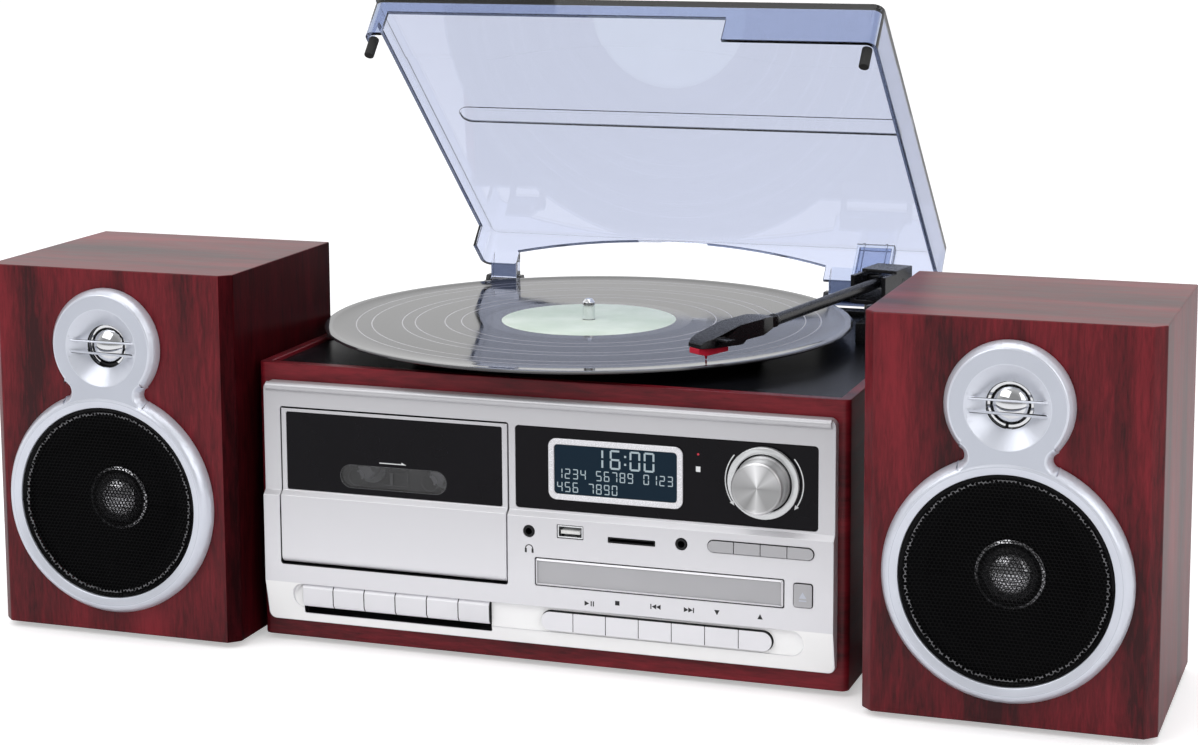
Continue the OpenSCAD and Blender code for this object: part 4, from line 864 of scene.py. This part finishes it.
class BEZEL_OT_music(bpy.types.Operator):
    """Dresses the silver front, its sockets, the black fascia, the display and the knob."""
    bl_idname = "music.bezel"
    bl_label = "Front Bezel"

    def execute(self, context):
        dress("front_bezel", "silver_lacquer", "channel_lacquer", "socket_black",
              pick=self.channel)
        dress("fascia_panel", "piano_black")
        dress("display_frame", "frame_lacquer", width=mm(0.6), segments=3)
        coat("display_module", "lcd_ground")
        dress("knob_ring", "spun_ring", width=mm(0.5), segments=3, even=False)
        dress("volume_knob", "spun_knob", width=mm(0.7), segments=3, even=False)
        dress("front_board", "circuit_green", "socket_black", "chrome", width=mm(0.15),
              pick=self.front_socket)
        self.tongue()
        self.digits()
        self.print_on_silver()
        self.print_on_black()
        return {"FINISHED"}

    def channel(self, place, normal):
        """The brighter floor of the channel, black as painted shade on the walls of the openings,
        or plain silver.
        """
        if abs(place.x) > 152:  # the outer frame
            return 0
        # walls inside the openings: painted shade
        if place.y > -5 and abs(normal.y) < 0.4 and 15 < place.z < 140:
            return 2
        channel_floor = 20 < place.z < 36.5 and -8 < place.y < -4
        return 1 if channel_floor and normal.y < -0.5 else 0

    def front_socket(self, place, normal):
        """Board green behind, black sockets, and the drive port's bright shell."""
        socket_face = normal.y < -0.5 and place.y < 7
        if place.y > 0 and not socket_face:
            return 0
        port_x, port_half, port_foot = 17.9, 7.2, 73.5
        return 2 if abs(place.x - port_x) < port_half and place.z > port_foot else 1

    def tongue(self):
        """The white tongue inside the drive port."""
        low, high = at(12.6, -8.2, 76.2), at(23.2, 3.9, 78.0)
        bm = bmesh.new()
        bmesh.ops.create_cube(bm, size=1)
        bmesh.ops.scale(bm, vec=high - low, verts=bm.verts)
        bmesh.ops.translate(bm, vec=(low + high) / 2, verts=bm.verts)
        round_edges(bm, mm(0.2))
        wrap_up(bm, "port_tongue", BODY_OF["front_board"], "socket_white",
                slot=SLOT_OF["front_board"])

    def digits(self):
        """A clock and two rows of plain digits, built from seven bars each."""
        front = sizes("music_front")
        clock, row = front.clock_height * 1000, front.row_height * 1000
        clock_foot, row_left = 112.0, 10.0
        outlines = [
            oblong(47.6, clock_foot + clock * share, 1.1, 1.1) for share in (0.3, 0.7)]
        for digits, left in (("1", 29.8), ("6", 39.2), ("00", 50.0)):
            outlines += seven_bars(digits, left, clock_foot, clock, 0.74)
        for digits, foot in (("1234 56789 0123", 105.3), ("456 7890", 98.2)):
            outlines += seven_bars(digits, row_left, foot, row, 0.80)
        plane = corners("display_module")[0].y
        marks("display_digits", "lcd_digits", "display_module", plane, outlines)

    def print_on_silver(self):
        """Plain control symbols and a headphone outline in dark ink."""
        z, half = 41.6, 1.35  # the symbols' middle and half their height
        play_z = 40.0
        outlines = [
            # play and pause
            [(25.8, play_z - half), (28.4, play_z), (25.8, play_z + half)],
            oblong(29.5, play_z, 0.6, 2 * half), oblong(30.7, play_z, 0.6, 2 * half),
            # stop
            oblong(43.9, z, 2.4, 2.4),
            # skip back
            oblong(62.3, z, 0.55, 2 * half),
            [(65.2, z - half), (65.2, z + half), (62.8, z)],
            [(67.6, z - half), (67.6, z + half), (65.2, z)],
            # skip on
            [(80.2, z - half), (82.6, z), (80.2, z + half)],
            [(82.6, z - half), (85.0, z), (82.6, z + half)],
            oblong(85.4, z, 0.55, 2 * half),
            # down and up
            [(98.0, z - half), (99.4, z + half), (96.6, z + half)],
            [(119.6, z - half), (122.4, z - half), (121.0, z + half)],
            # headphones
            arc(-4.9, 66.8, 1.8, 2.3, 0, 180, 12),
            oblong(-6.8, 65.8, 1.1, 2.3), oblong(-3.0, 65.8, 1.1, 2.3),
        ]
        plane = corners("cd_tray")[0].y
        marks("silver_print", "dark_ink", "front_bezel", plane, outlines)

    def print_on_black(self):
        """White arcs with arrow tips round the knob, a white mark and a small red lamp."""
        plane = corners("fascia_panel")[0].y
        knob = unit(middle("volume_knob"))
        outlines = []
        for start, end, tip_turn in ((140, 213, 7), (40, -33, -7)):
            outlines.append(arc(knob.x, knob.z, 20.3, 20.9, start, end))
            outlines.append([
                (knob.x + radius * math.cos(math.radians(turn)),
                 knob.z + radius * math.sin(math.radians(turn)))
                for radius, turn in ((19.5, end), (20.6, end + tip_turn), (21.7, end))])
        lamp_x = 86.9
        outlines.append(oblong(lamp_x, 115.6, 2.4, 2.8))
        marks("fascia_print", "white_ink", "fascia_panel", plane, outlines)
        marks("standby_lamp", "stylus_red", "fascia_panel", plane,
              [arc(lamp_x, 123.4, 0.0, 0.6, 0, 359, 15)])


def seven_bars(digits, x, z, height, advance):
    """The outlines of a row of digits, each built from seven bars, from its left edge."""
    wide, thick = height * 0.56, height * 0.10
    half = height / 2
    bars = {
        "a": (wide / 2, height - thick / 2, wide - thick, thick),
        "b": (wide - thick / 2, half * 1.5, thick, half - thick),
        "c": (wide - thick / 2, half * 0.5, thick, half - thick),
        "d": (wide / 2, thick / 2, wide - thick, thick),
        "e": (thick / 2, half * 0.5, thick, half - thick),
        "f": (thick / 2, half * 1.5, thick, half - thick),
        "g": (wide / 2, half, wide - thick, thick),
    }
    lit = {
        "0": "abcdef", "1": "bc", "2": "abged", "3": "abgcd", "4": "fgbc", "5": "afgcd",
        "6": "afgedc", "7": "abc", "8": "abcdefg", "9": "abcfgd", " ": "",
    }
    outlines = []
    for place, digit in enumerate(digits):
        left = x + place * height * advance
        for bar in lit[digit]:
            across, up, width, tall = bars[bar]
            outlines.append(oblong(left + across, z + up, width * 0.96, tall * 0.96))
    return outlines


PANE_HALF = 24.5  # from the middle of the window's pane to the centre of its round end


class CASSETTE_OT_music(bpy.types.Operator):
    """Dresses the cassette door, its window, the mechanism, spools and keys."""
    bl_idname = "music.cassette"
    bl_label = "Cassette Deck"

    def execute(self, context):
        dress("cassette_door", "silver_lacquer", "piano_black", pick=self.behind_window)
        dress("cassette_window", "piano_black", "window_smoke", width=mm(0.1), shape=self.pane)
        coat("cassette_bay", "grey_mechanism")
        coat("cassette_mechanism", "grey_mechanism")
        for node in ("left_spool", "right_spool"):
            dress(node, "spool_white", width=mm(0.2))
        for number in range(1, 7):
            dress(f"cassette_key_{number}", "button_lacquer", "socket_black", width=mm(0.4),
                  pick=painted_shade_flanks)
        self.arrow()
        return {"FINISHED"}

    def hubs(self):
        """The point halfway between the two spools."""
        return unit((middle("left_spool") + middle("right_spool")) / 2)

    def behind_window(self, place, normal):
        """Black in the window's recess, black as painted shade on the door's sides, silver
        elsewhere.
        """
        low, high = corners("cassette_door")
        border = min(place.x - low.x, high.x - place.x, high.z - place.z)
        # the door's sides: painted shade
        if border < 0.2 and abs(normal.y) < 0.4:
            return 1
        low, high = corners("cassette_window")
        inside = low.x - 0.5 < place.x < high.x + 0.5 and low.z - 0.5 < place.z < high.z + 0.5
        return 1 if inside and place.y > high.y - 0.5 else 0

    def pane(self, bm):
        """Clear in the pill over the hubs, black elsewhere."""
        hubs, radius = self.hubs(), 6.6
        for face in bm.faces:
            places = [unit(vert.co) for vert in face.verts]
            inside = all(
                math.hypot(max(abs(place.x - hubs.x) - PANE_HALF, 0), place.z - hubs.z) < radius
                for place in places)
            face.material_index = 1 if inside else 0

    def arrow(self):
        """A white arrow over the pane, and the faint lines moulded in it."""
        plane = corners("cassette_window")[0].y + 0.2
        left, barb, tip, z = -91.3, -78.4, -75.6, 105.8
        arrow = [(left, z - 0.25), (tip, z - 0.25), (barb, z + 1.1), (barb, z + 0.25),
                 (left, z + 0.25)]
        marks("window_arrow", "white_ink", "cassette_window", plane, [arrow])
        x, z = self.hubs().xz
        lines = [
            # border of the pane
            oblong(x, z + 6.3, 2 * PANE_HALF, 0.3), oblong(x, z - 6.3, 2 * PANE_HALF, 0.3),
            arc(x - PANE_HALF, z, 6.15, 6.45, 90, 270),
            arc(x + PANE_HALF, z, 6.15, 6.45, 90, -90),
            # small window between the hubs
            oblong(x + 1, z + 3.4, 15, 0.25), oblong(x + 1, z - 3.4, 15, 0.25),
            oblong(x - 6.5, z, 0.25, 6.5), oblong(x - 1, z, 1.6, 6.5),
            oblong(x + 8.5, z, 0.25, 6.5),
            # hubs
            arc(x - 21.2, z, 4.6, 4.9, 0, 350, 32), arc(x + 21.2, z, 4.6, 4.9, 0, 350, 32),
        ]
        marks("window_lines", "pane_ink", "cassette_window", plane, lines)


class BUTTONS_OT_music(bpy.types.Operator):
    """Dresses the push buttons and the disc drawer."""
    bl_idname = "music.buttons"
    bl_label = "Buttons and Drawer"

    def execute(self, context):
        for number in range(1, 8):
            dress(f"control_button_{number}", "button_lacquer", "socket_black", width=mm(0.3),
                  pick=painted_shade_sides)
        for number in range(1, 5):
            dress(f"function_button_{number}", "tray_lacquer", "socket_black", width=mm(0.25),
                  pick=painted_shade_sides)
        dress("eject_button", "tray_lacquer", "socket_black", width=mm(0.3), pick=painted_shade_sides)
        dress("cd_tray", "tray_lacquer", "silver_lacquer", width=mm(0.2), shape=self.inset_front,
              pick=self.tray_edge)
        coat("cd_drive", "grey_mechanism")
        x, z = unit(middle("eject_button")).xz
        triangle = [(x - 2.0, z - 1.4), (x + 2.0, z - 1.4), (x, z + 2.0)]
        bar = oblong(x, z - 2.6, 4.0, 0.7)
        plane = corners("eject_button")[0].y
        marks("eject_mark", "trim_face", "eject_button", plane, [triangle, bar], mm(0.15))
        return {"FINISHED"}

    def inset_front(self, bm):
        """A raised border round the drawer's front."""
        plane = box("cd_tray")[0].y
        front = [
            face for face in bm.faces
            if face.normal.y < -0.9 and abs(face.calc_center_median().y - plane) < mm(0.1)]
        bmesh.ops.inset_region(bm, faces=front, thickness=mm(1.1), depth=0)
        bmesh.ops.inset_region(bm, faces=front, thickness=mm(0.35), depth=-mm(0.35))

    def tray_edge(self, place, normal):
        """The border a little brighter than the field."""
        low, high = corners("cd_tray")
        front_height, border, skin = 13.9, 0.9, 0.3
        beside = min(place.x - low.x, high.x - place.x)
        above = min(place.z - low.z, low.z + front_height - place.z)
        return 1 if place.y < low.y + skin and min(beside, above) < border else 0


class TURNTABLE_OT_music(bpy.types.Operator):
    """Dresses the platter and the spindle, and makes the record with its label."""
    bl_idname = "music.turntable"
    bl_label = "Turntable"

    def execute(self, context):
        dress("platter", "grained_black", width=mm(0.4))
        dress("platter_mat", "rubber", width=mm(0.2))
        dress("spindle", "chrome", width=mm(0.2))
        self.record()
        self.label()
        return {"FINISHED"}

    def record(self):
        """The grooved disc: bands of grooves parted by rings with painted sheen, and a raised rim.
        """
        deck = sizes("music_deck")
        low, high = box("record")
        radius, thick = (high.x - low.x) / 2, high.z - low.z
        first, last = deck.label_radius + mm(9), radius - mm(4.5)
        hole, top, rim_top = mm(3.62), thick - mm(0.12), thick - mm(0.01)
        gaps = []
        for track in range(1, deck.tracks):
            uneven = 0.030 * math.sin(9 * track)
            gaps.append(first + (last - first) * (track / deck.tracks + uneven))
        outline = [(hole, 0), (hole, top), (first, top)]
        for edge in gaps:
            outline += [(edge, top), (edge + deck.track_gap, top)]
        outline += [(last, top), (last + mm(0.5), rim_top), (radius - mm(0.8), rim_top),
                    (radius - mm(0.05), thick - mm(0.5)), (radius - mm(0.05), mm(0.5)),
                    (radius - mm(0.8), 0), (hole, 0)]
        bm = bmesh.new()
        spin_up(bm, outline, Vector((*middle("record").xy, low.z)), (0, 0, 1), 256)
        centre = middle("record").xy
        # rings between tracks get the painted sheen; the run-out and rim get smooth vinyl
        for face in bm.faces:
            far = (face.calc_center_median().xy - centre).length
            if any(edge < far < edge + deck.track_gap for edge in gaps):
                face.material_index = 1
            elif far < first or far > last:
                face.material_index = 2
        wrap_up(bm, "record_grooved", BODY_OF["record"], "vinyl", "bright_gap", "smooth_vinyl",
                replaces=("record",))

    def label(self):
        """The bare paper label with a pressed ring."""
        wide = sizes("music_deck").label_radius
        low, high = box("record")
        thick = high.z - low.z
        hole, foot, groove, top = mm(3.7), thick - mm(0.14), thick - mm(0.07), thick - mm(0.02)
        outline = [(hole, foot), (hole, top), (mm(15.5), top), (mm(16.2), groove),
                   (mm(16.9), top), (wide - mm(0.3), top), (wide, foot), (hole, foot)]
        bm = bmesh.new()
        spin_up(bm, outline, Vector((*middle("record").xy, low.z)), (0, 0, 1), 128)
        wrap_up(bm, "record_label", BODY_OF["record"], "label_paper", slot=SLOT_OF["record"])


class TONEARM_OT_music(bpy.types.Operator):
    """Dresses the tonearm, its housing and the stylus."""
    bl_idname = "music.tonearm"
    bl_label = "Tonearm"

    def execute(self, context):
        for node in ("tonearm_base", "tonearm_yoke", "tonearm"):
            dress(node, "satin_black", width=mm(0.35))
        dress("stylus", "stylus_red", width=mm(0.2))
        return {"FINISHED"}


class LID_OT_music(bpy.types.Operator):
    """Dresses the clear lid, its bumpers and hinges."""
    bl_idname = "music.lid"
    bl_label = "Lid"

    def execute(self, context):
        joints = frame["record"]["behaviour"]["joints"]
        hinge = Vector(next(entry["pos_m"] for entry in joints if entry["name"] == "lid_hinge"))
        shut = Matrix.Rotation(sizes("music_deck").lid_angle, 3, "X")
        top = corners("deck_plate")[1].z + 38.4  # height of the closed lid's top

        def thickness_seen(place, normal):
            """Deep tint on skirts and pocket, darkest on the rims, clear on the top."""
            closed = unit(hinge + shut @ (at(*place) - hinge))
            faces = shut @ normal
            rim = faces.z < -0.3 and closed.z < top - 4
            rib = closed.z > top - 6 and abs(faces.z) < 0.8 and 130 < closed.y < 136
            front_skirt = closed.y < 20
            rear_pocket = closed.y > 240 and closed.x > 100
            if rim or rib:
                return 2
            return 1 if closed.z < top - 3.2 and (front_skirt or rear_pocket) else 0

        dress("lid", "lid_clear", "lid_deep", "lid_edge", width=mm(0.4), pick=thickness_seen)
        dress("lid_bumpers", "rubber", width=mm(0.4))
        dress("hinge_brackets", "satin_black", width=mm(0.4))
        return {"FINISHED"}


class SPEAKERS_OT_music(bpy.types.Operator):
    """Dresses both speakers and makes their grilles and dust caps."""
    bl_idname = "music.speakers"
    bl_label = "Speakers"

    def execute(self, context):
        for side in ("left", "right"):
            dress(f"{side}_speaker_box", "upright_veneer", "shaded_veneer",
                  width=sizes("music_wood").edge, pick=self.beside_cabinet)
            dress(f"{side}_speaker_trim", "trim_lacquer", "trim_face", "socket_black",
                  width=mm(0.5), segments=3, pick=self.trim)
        dress("woofers", "cone_paper", width=mm(0.2))
        dress("tweeters", "chrome", "socket_black", width=0, pick=self.dome)
        dress("speaker_terminals", "grained_black", width=mm(0.4))
        low, high = box("speaker_grilles")
        radius, depth, up = (high.z - low.z) / 2, high.y, (low.z + high.z) / 2
        sheet = self.pressed_sheet(radius)
        for name, x in (("left", low.x + radius), ("right", high.x - radius)):
            hub = Vector((x, depth, up))
            self.grille(name, hub, sheet)
            self.dust_cap(name, hub)
        sheet.free()
        return {"FINISHED"}

    def beside_cabinet(self, place, normal):
        """Veneer darkened as painted shade on the left speaker's side towards the cabinet."""
        return 1 if place.x < 0 and normal.x > 0.5 else 0

    def from_tweeter(self, place):
        """How far a point is from the axis of the tweeter on its side, in millimetres."""
        low, high = corners("tweeters")
        half = (high.z - low.z) / 2
        across = min(abs(place.x - low.x - half), abs(place.x - high.x + half))
        return math.hypot(across, place.z - low.z - half)

    def dome(self, place, normal):
        """Bright dome, black flange round it."""
        dome_radius, flange_y = 9.7, 10
        return 0 if self.from_tweeter(place) < dome_radius and place.y < flange_y else 1

    def trim(self, place, normal):
        """Black at the throat's rim, flat silver on the level front, bright elsewhere."""
        throat_radius = 12.1
        if self.from_tweeter(place) < throat_radius and abs(normal.x) + abs(normal.z) > 0.8:
            return 2
        return 1 if normal.y < -0.995 else 0

    def sheet_height(self, far):
        """How far the grille's sheet stands before its rear edge, at a radius in millimetres."""
        steps = ((0, 1.35), (28, 1.75), (44, 2.95), (53, 4.95))
        for (r0, h0), (r1, h1) in zip(steps, steps[1:]):
            if far <= r1:
                return h0 + (h1 - h0) * (far - r0) / (r1 - r0)
        return steps[-1][1]

    def cells(self, radius, pitch):
        """Hexagons over a disc: one cell doubled into a row, the row doubled into a field."""
        row = pitch * math.sqrt(3) / 2
        turn = Matrix.Rotation(math.radians(90), 4, "X") @ Matrix.Rotation(
            math.radians(30), 4, "Z")
        bm = bmesh.new()
        bmesh.ops.create_circle(
            bm, segments=6, radius=pitch / math.sqrt(3), cap_ends=True, matrix=turn)
        rim_width = mm(1.4)
        doublings = math.ceil(math.log2(2 * radius / row))
        steps = [Vector((pitch * 2 ** i, 0, 0)) for i in range(doublings)]
        steps.append(Vector((pitch / 2, 0, row)))
        steps += [Vector((0, 0, row * 2 ** i)) for i in range(1, doublings)]
        for step in steps:
            copy = bmesh.ops.duplicate(bm, geom=bm.verts[:] + bm.edges[:] + bm.faces[:])["geom"]
            bmesh.ops.translate(bm, vec=step, verts=vertices(copy))
        half = 2 ** (doublings - 1)
        bmesh.ops.translate(bm, vec=(-half * pitch, 0, -half * row), verts=bm.verts)
        bmesh.ops.delete(bm, context="FACES", geom=[
            face for face in bm.faces
            if face.calc_center_median().length > radius - rim_width])
        bmesh.ops.remove_doubles(bm, verts=bm.verts, dist=pitch * 0.02)
        return bm

    def pressed_sheet(self, radius):
        """A dished sheet with hexagonal holes inside a rolled rim, about the origin."""
        look = sizes("music_speakers")
        bm = self.cells(radius, look.hole_pitch)
        holes = bm.faces[:]
        bmesh.ops.inset_individual(
            bm, faces=holes, thickness=look.hole_pitch / 2 * (1 - look.hole_share) * 0.87, depth=0)
        bmesh.ops.delete(bm, geom=holes, context="FACES")
        bmesh.ops.recalc_face_normals(bm, faces=bm.faces)
        bmesh.ops.solidify(bm, geom=bm.faces[:], thickness=look.sheet)
        for vert in bm.verts:
            vert.co.y -= mm(self.sheet_height(vert.co.xz.length * 1000))
        # a ring near the rim gets a painted highlight where the sheet bends
        for face in bm.faces:
            inside = radius - face.calc_center_median().xz.length
            face.material_index = 1 if mm(2.7) < inside < mm(3.9) else 0
        rim = [(2.6, 3.5), (1.2, 4.7), (0.3, 5.0), (0, 4.6), (0, 0.1), (0.9, 0.1), (0.9, 3.4),
               (2.6, 3.0), (2.6, 3.5)]  # millimetres inside the edge and before the back
        ring = bmesh.new()
        spin_up(ring, [(radius - mm(inside), mm(before)) for inside, before in rim], Vector(),
                (0, -1, 0), 128)
        ring_mesh = bpy.data.meshes.new("rim")
        ring.to_mesh(ring_mesh)
        ring.free()
        bm.from_mesh(ring_mesh)
        bpy.data.meshes.remove(ring_mesh)
        return bm

    def grille(self, name, hub, sheet):
        """One speaker's copy of the sheet."""
        bm = sheet.copy()
        bmesh.ops.translate(bm, vec=hub, verts=bm.verts)
        bmesh.ops.recalc_face_normals(bm, faces=bm.faces)
        replaced = ("speaker_grilles",) if name == "left" else ()
        wrap_up(bm, f"{name}_grille", BODY_OF["speaker_grilles"], "dark_mesh", "mesh_shine",
                replaces=replaced, slot=SLOT_OF["speaker_grilles"])

    def dust_cap(self, name, hub):
        """A glossy domed cap in the middle of the cone."""
        outline = [(0, 0.2), (3, 0), (6, -0.7), (9, -2.0), (11.5, -3.8), (13.2, -5.8),
                   (14, -7.6), (16, -7.2), (17.5, -7.9)]
        bm = bmesh.new()
        spin_up(bm, [(mm(r), mm(h)) for r, h in outline], hub, (0, -1, 0), 64)
        for face in bm.faces:
            far = (face.calc_center_median() - hub).xz.length
            face.material_index = 1 if mm(14) < far < mm(16) else 0
        wrap_up(bm, f"{name}_dust_cap", BODY_OF["woofers"], "cap_gloss", "cone_paper",
                slot=SLOT_OF["woofers"])


OPERATORS = (
    STAGE_OT_music,
    CABINET_OT_music,
    BEZEL_OT_music,
    CASSETTE_OT_music,
    BUTTONS_OT_music,
    TURNTABLE_OT_music,
    TONEARM_OT_music,
    LID_OT_music,
    SPEAKERS_OT_music,
)


class VIEW3D_PT_music(bpy.types.Panel):
    """Lists the pieces of the music centre."""
    bl_label = "Music Centre"
    bl_space_type = "VIEW_3D"
    bl_region_type = "UI"
    bl_category = "Music Centre"

    def draw(self, context):
        for operator in OPERATORS:
            self.layout.operator(operator.bl_idname)
        for group in GROUPS:
            rows = self.layout.box()
            for value in getattr(context.scene, group).bl_rna.properties.keys():
                if value not in ("rna_type", "name"):
                    rows.prop(getattr(context.scene, group), value)


def register():
    """Registers the settings, the operators and the panel."""
    for group, kind in GROUPS.items():
        bpy.utils.register_class(kind)
        setattr(bpy.types.Scene, group, PointerProperty(type=kind))
    for kind in (*OPERATORS, VIEW3D_PT_music):
        bpy.utils.register_class(kind)


def unregister():
    """Takes away what register added."""
    for kind in (VIEW3D_PT_music, *reversed(OPERATORS)):
        bpy.utils.unregister_class(kind)
    for group, kind in GROUPS.items():
        delattr(bpy.types.Scene, group)
        bpy.utils.unregister_class(kind)


def main():
    """Makes the whole scene."""
    register()
    bpy.ops.music.stage()
    bpy.ops.music.cabinet()
    bpy.ops.music.bezel()
    bpy.ops.music.cassette()
    bpy.ops.music.buttons()
    bpy.ops.music.turntable()
    bpy.ops.music.tonearm()
    bpy.ops.music.lid()
    bpy.ops.music.speakers()


if __name__ == "__main__":
    main()
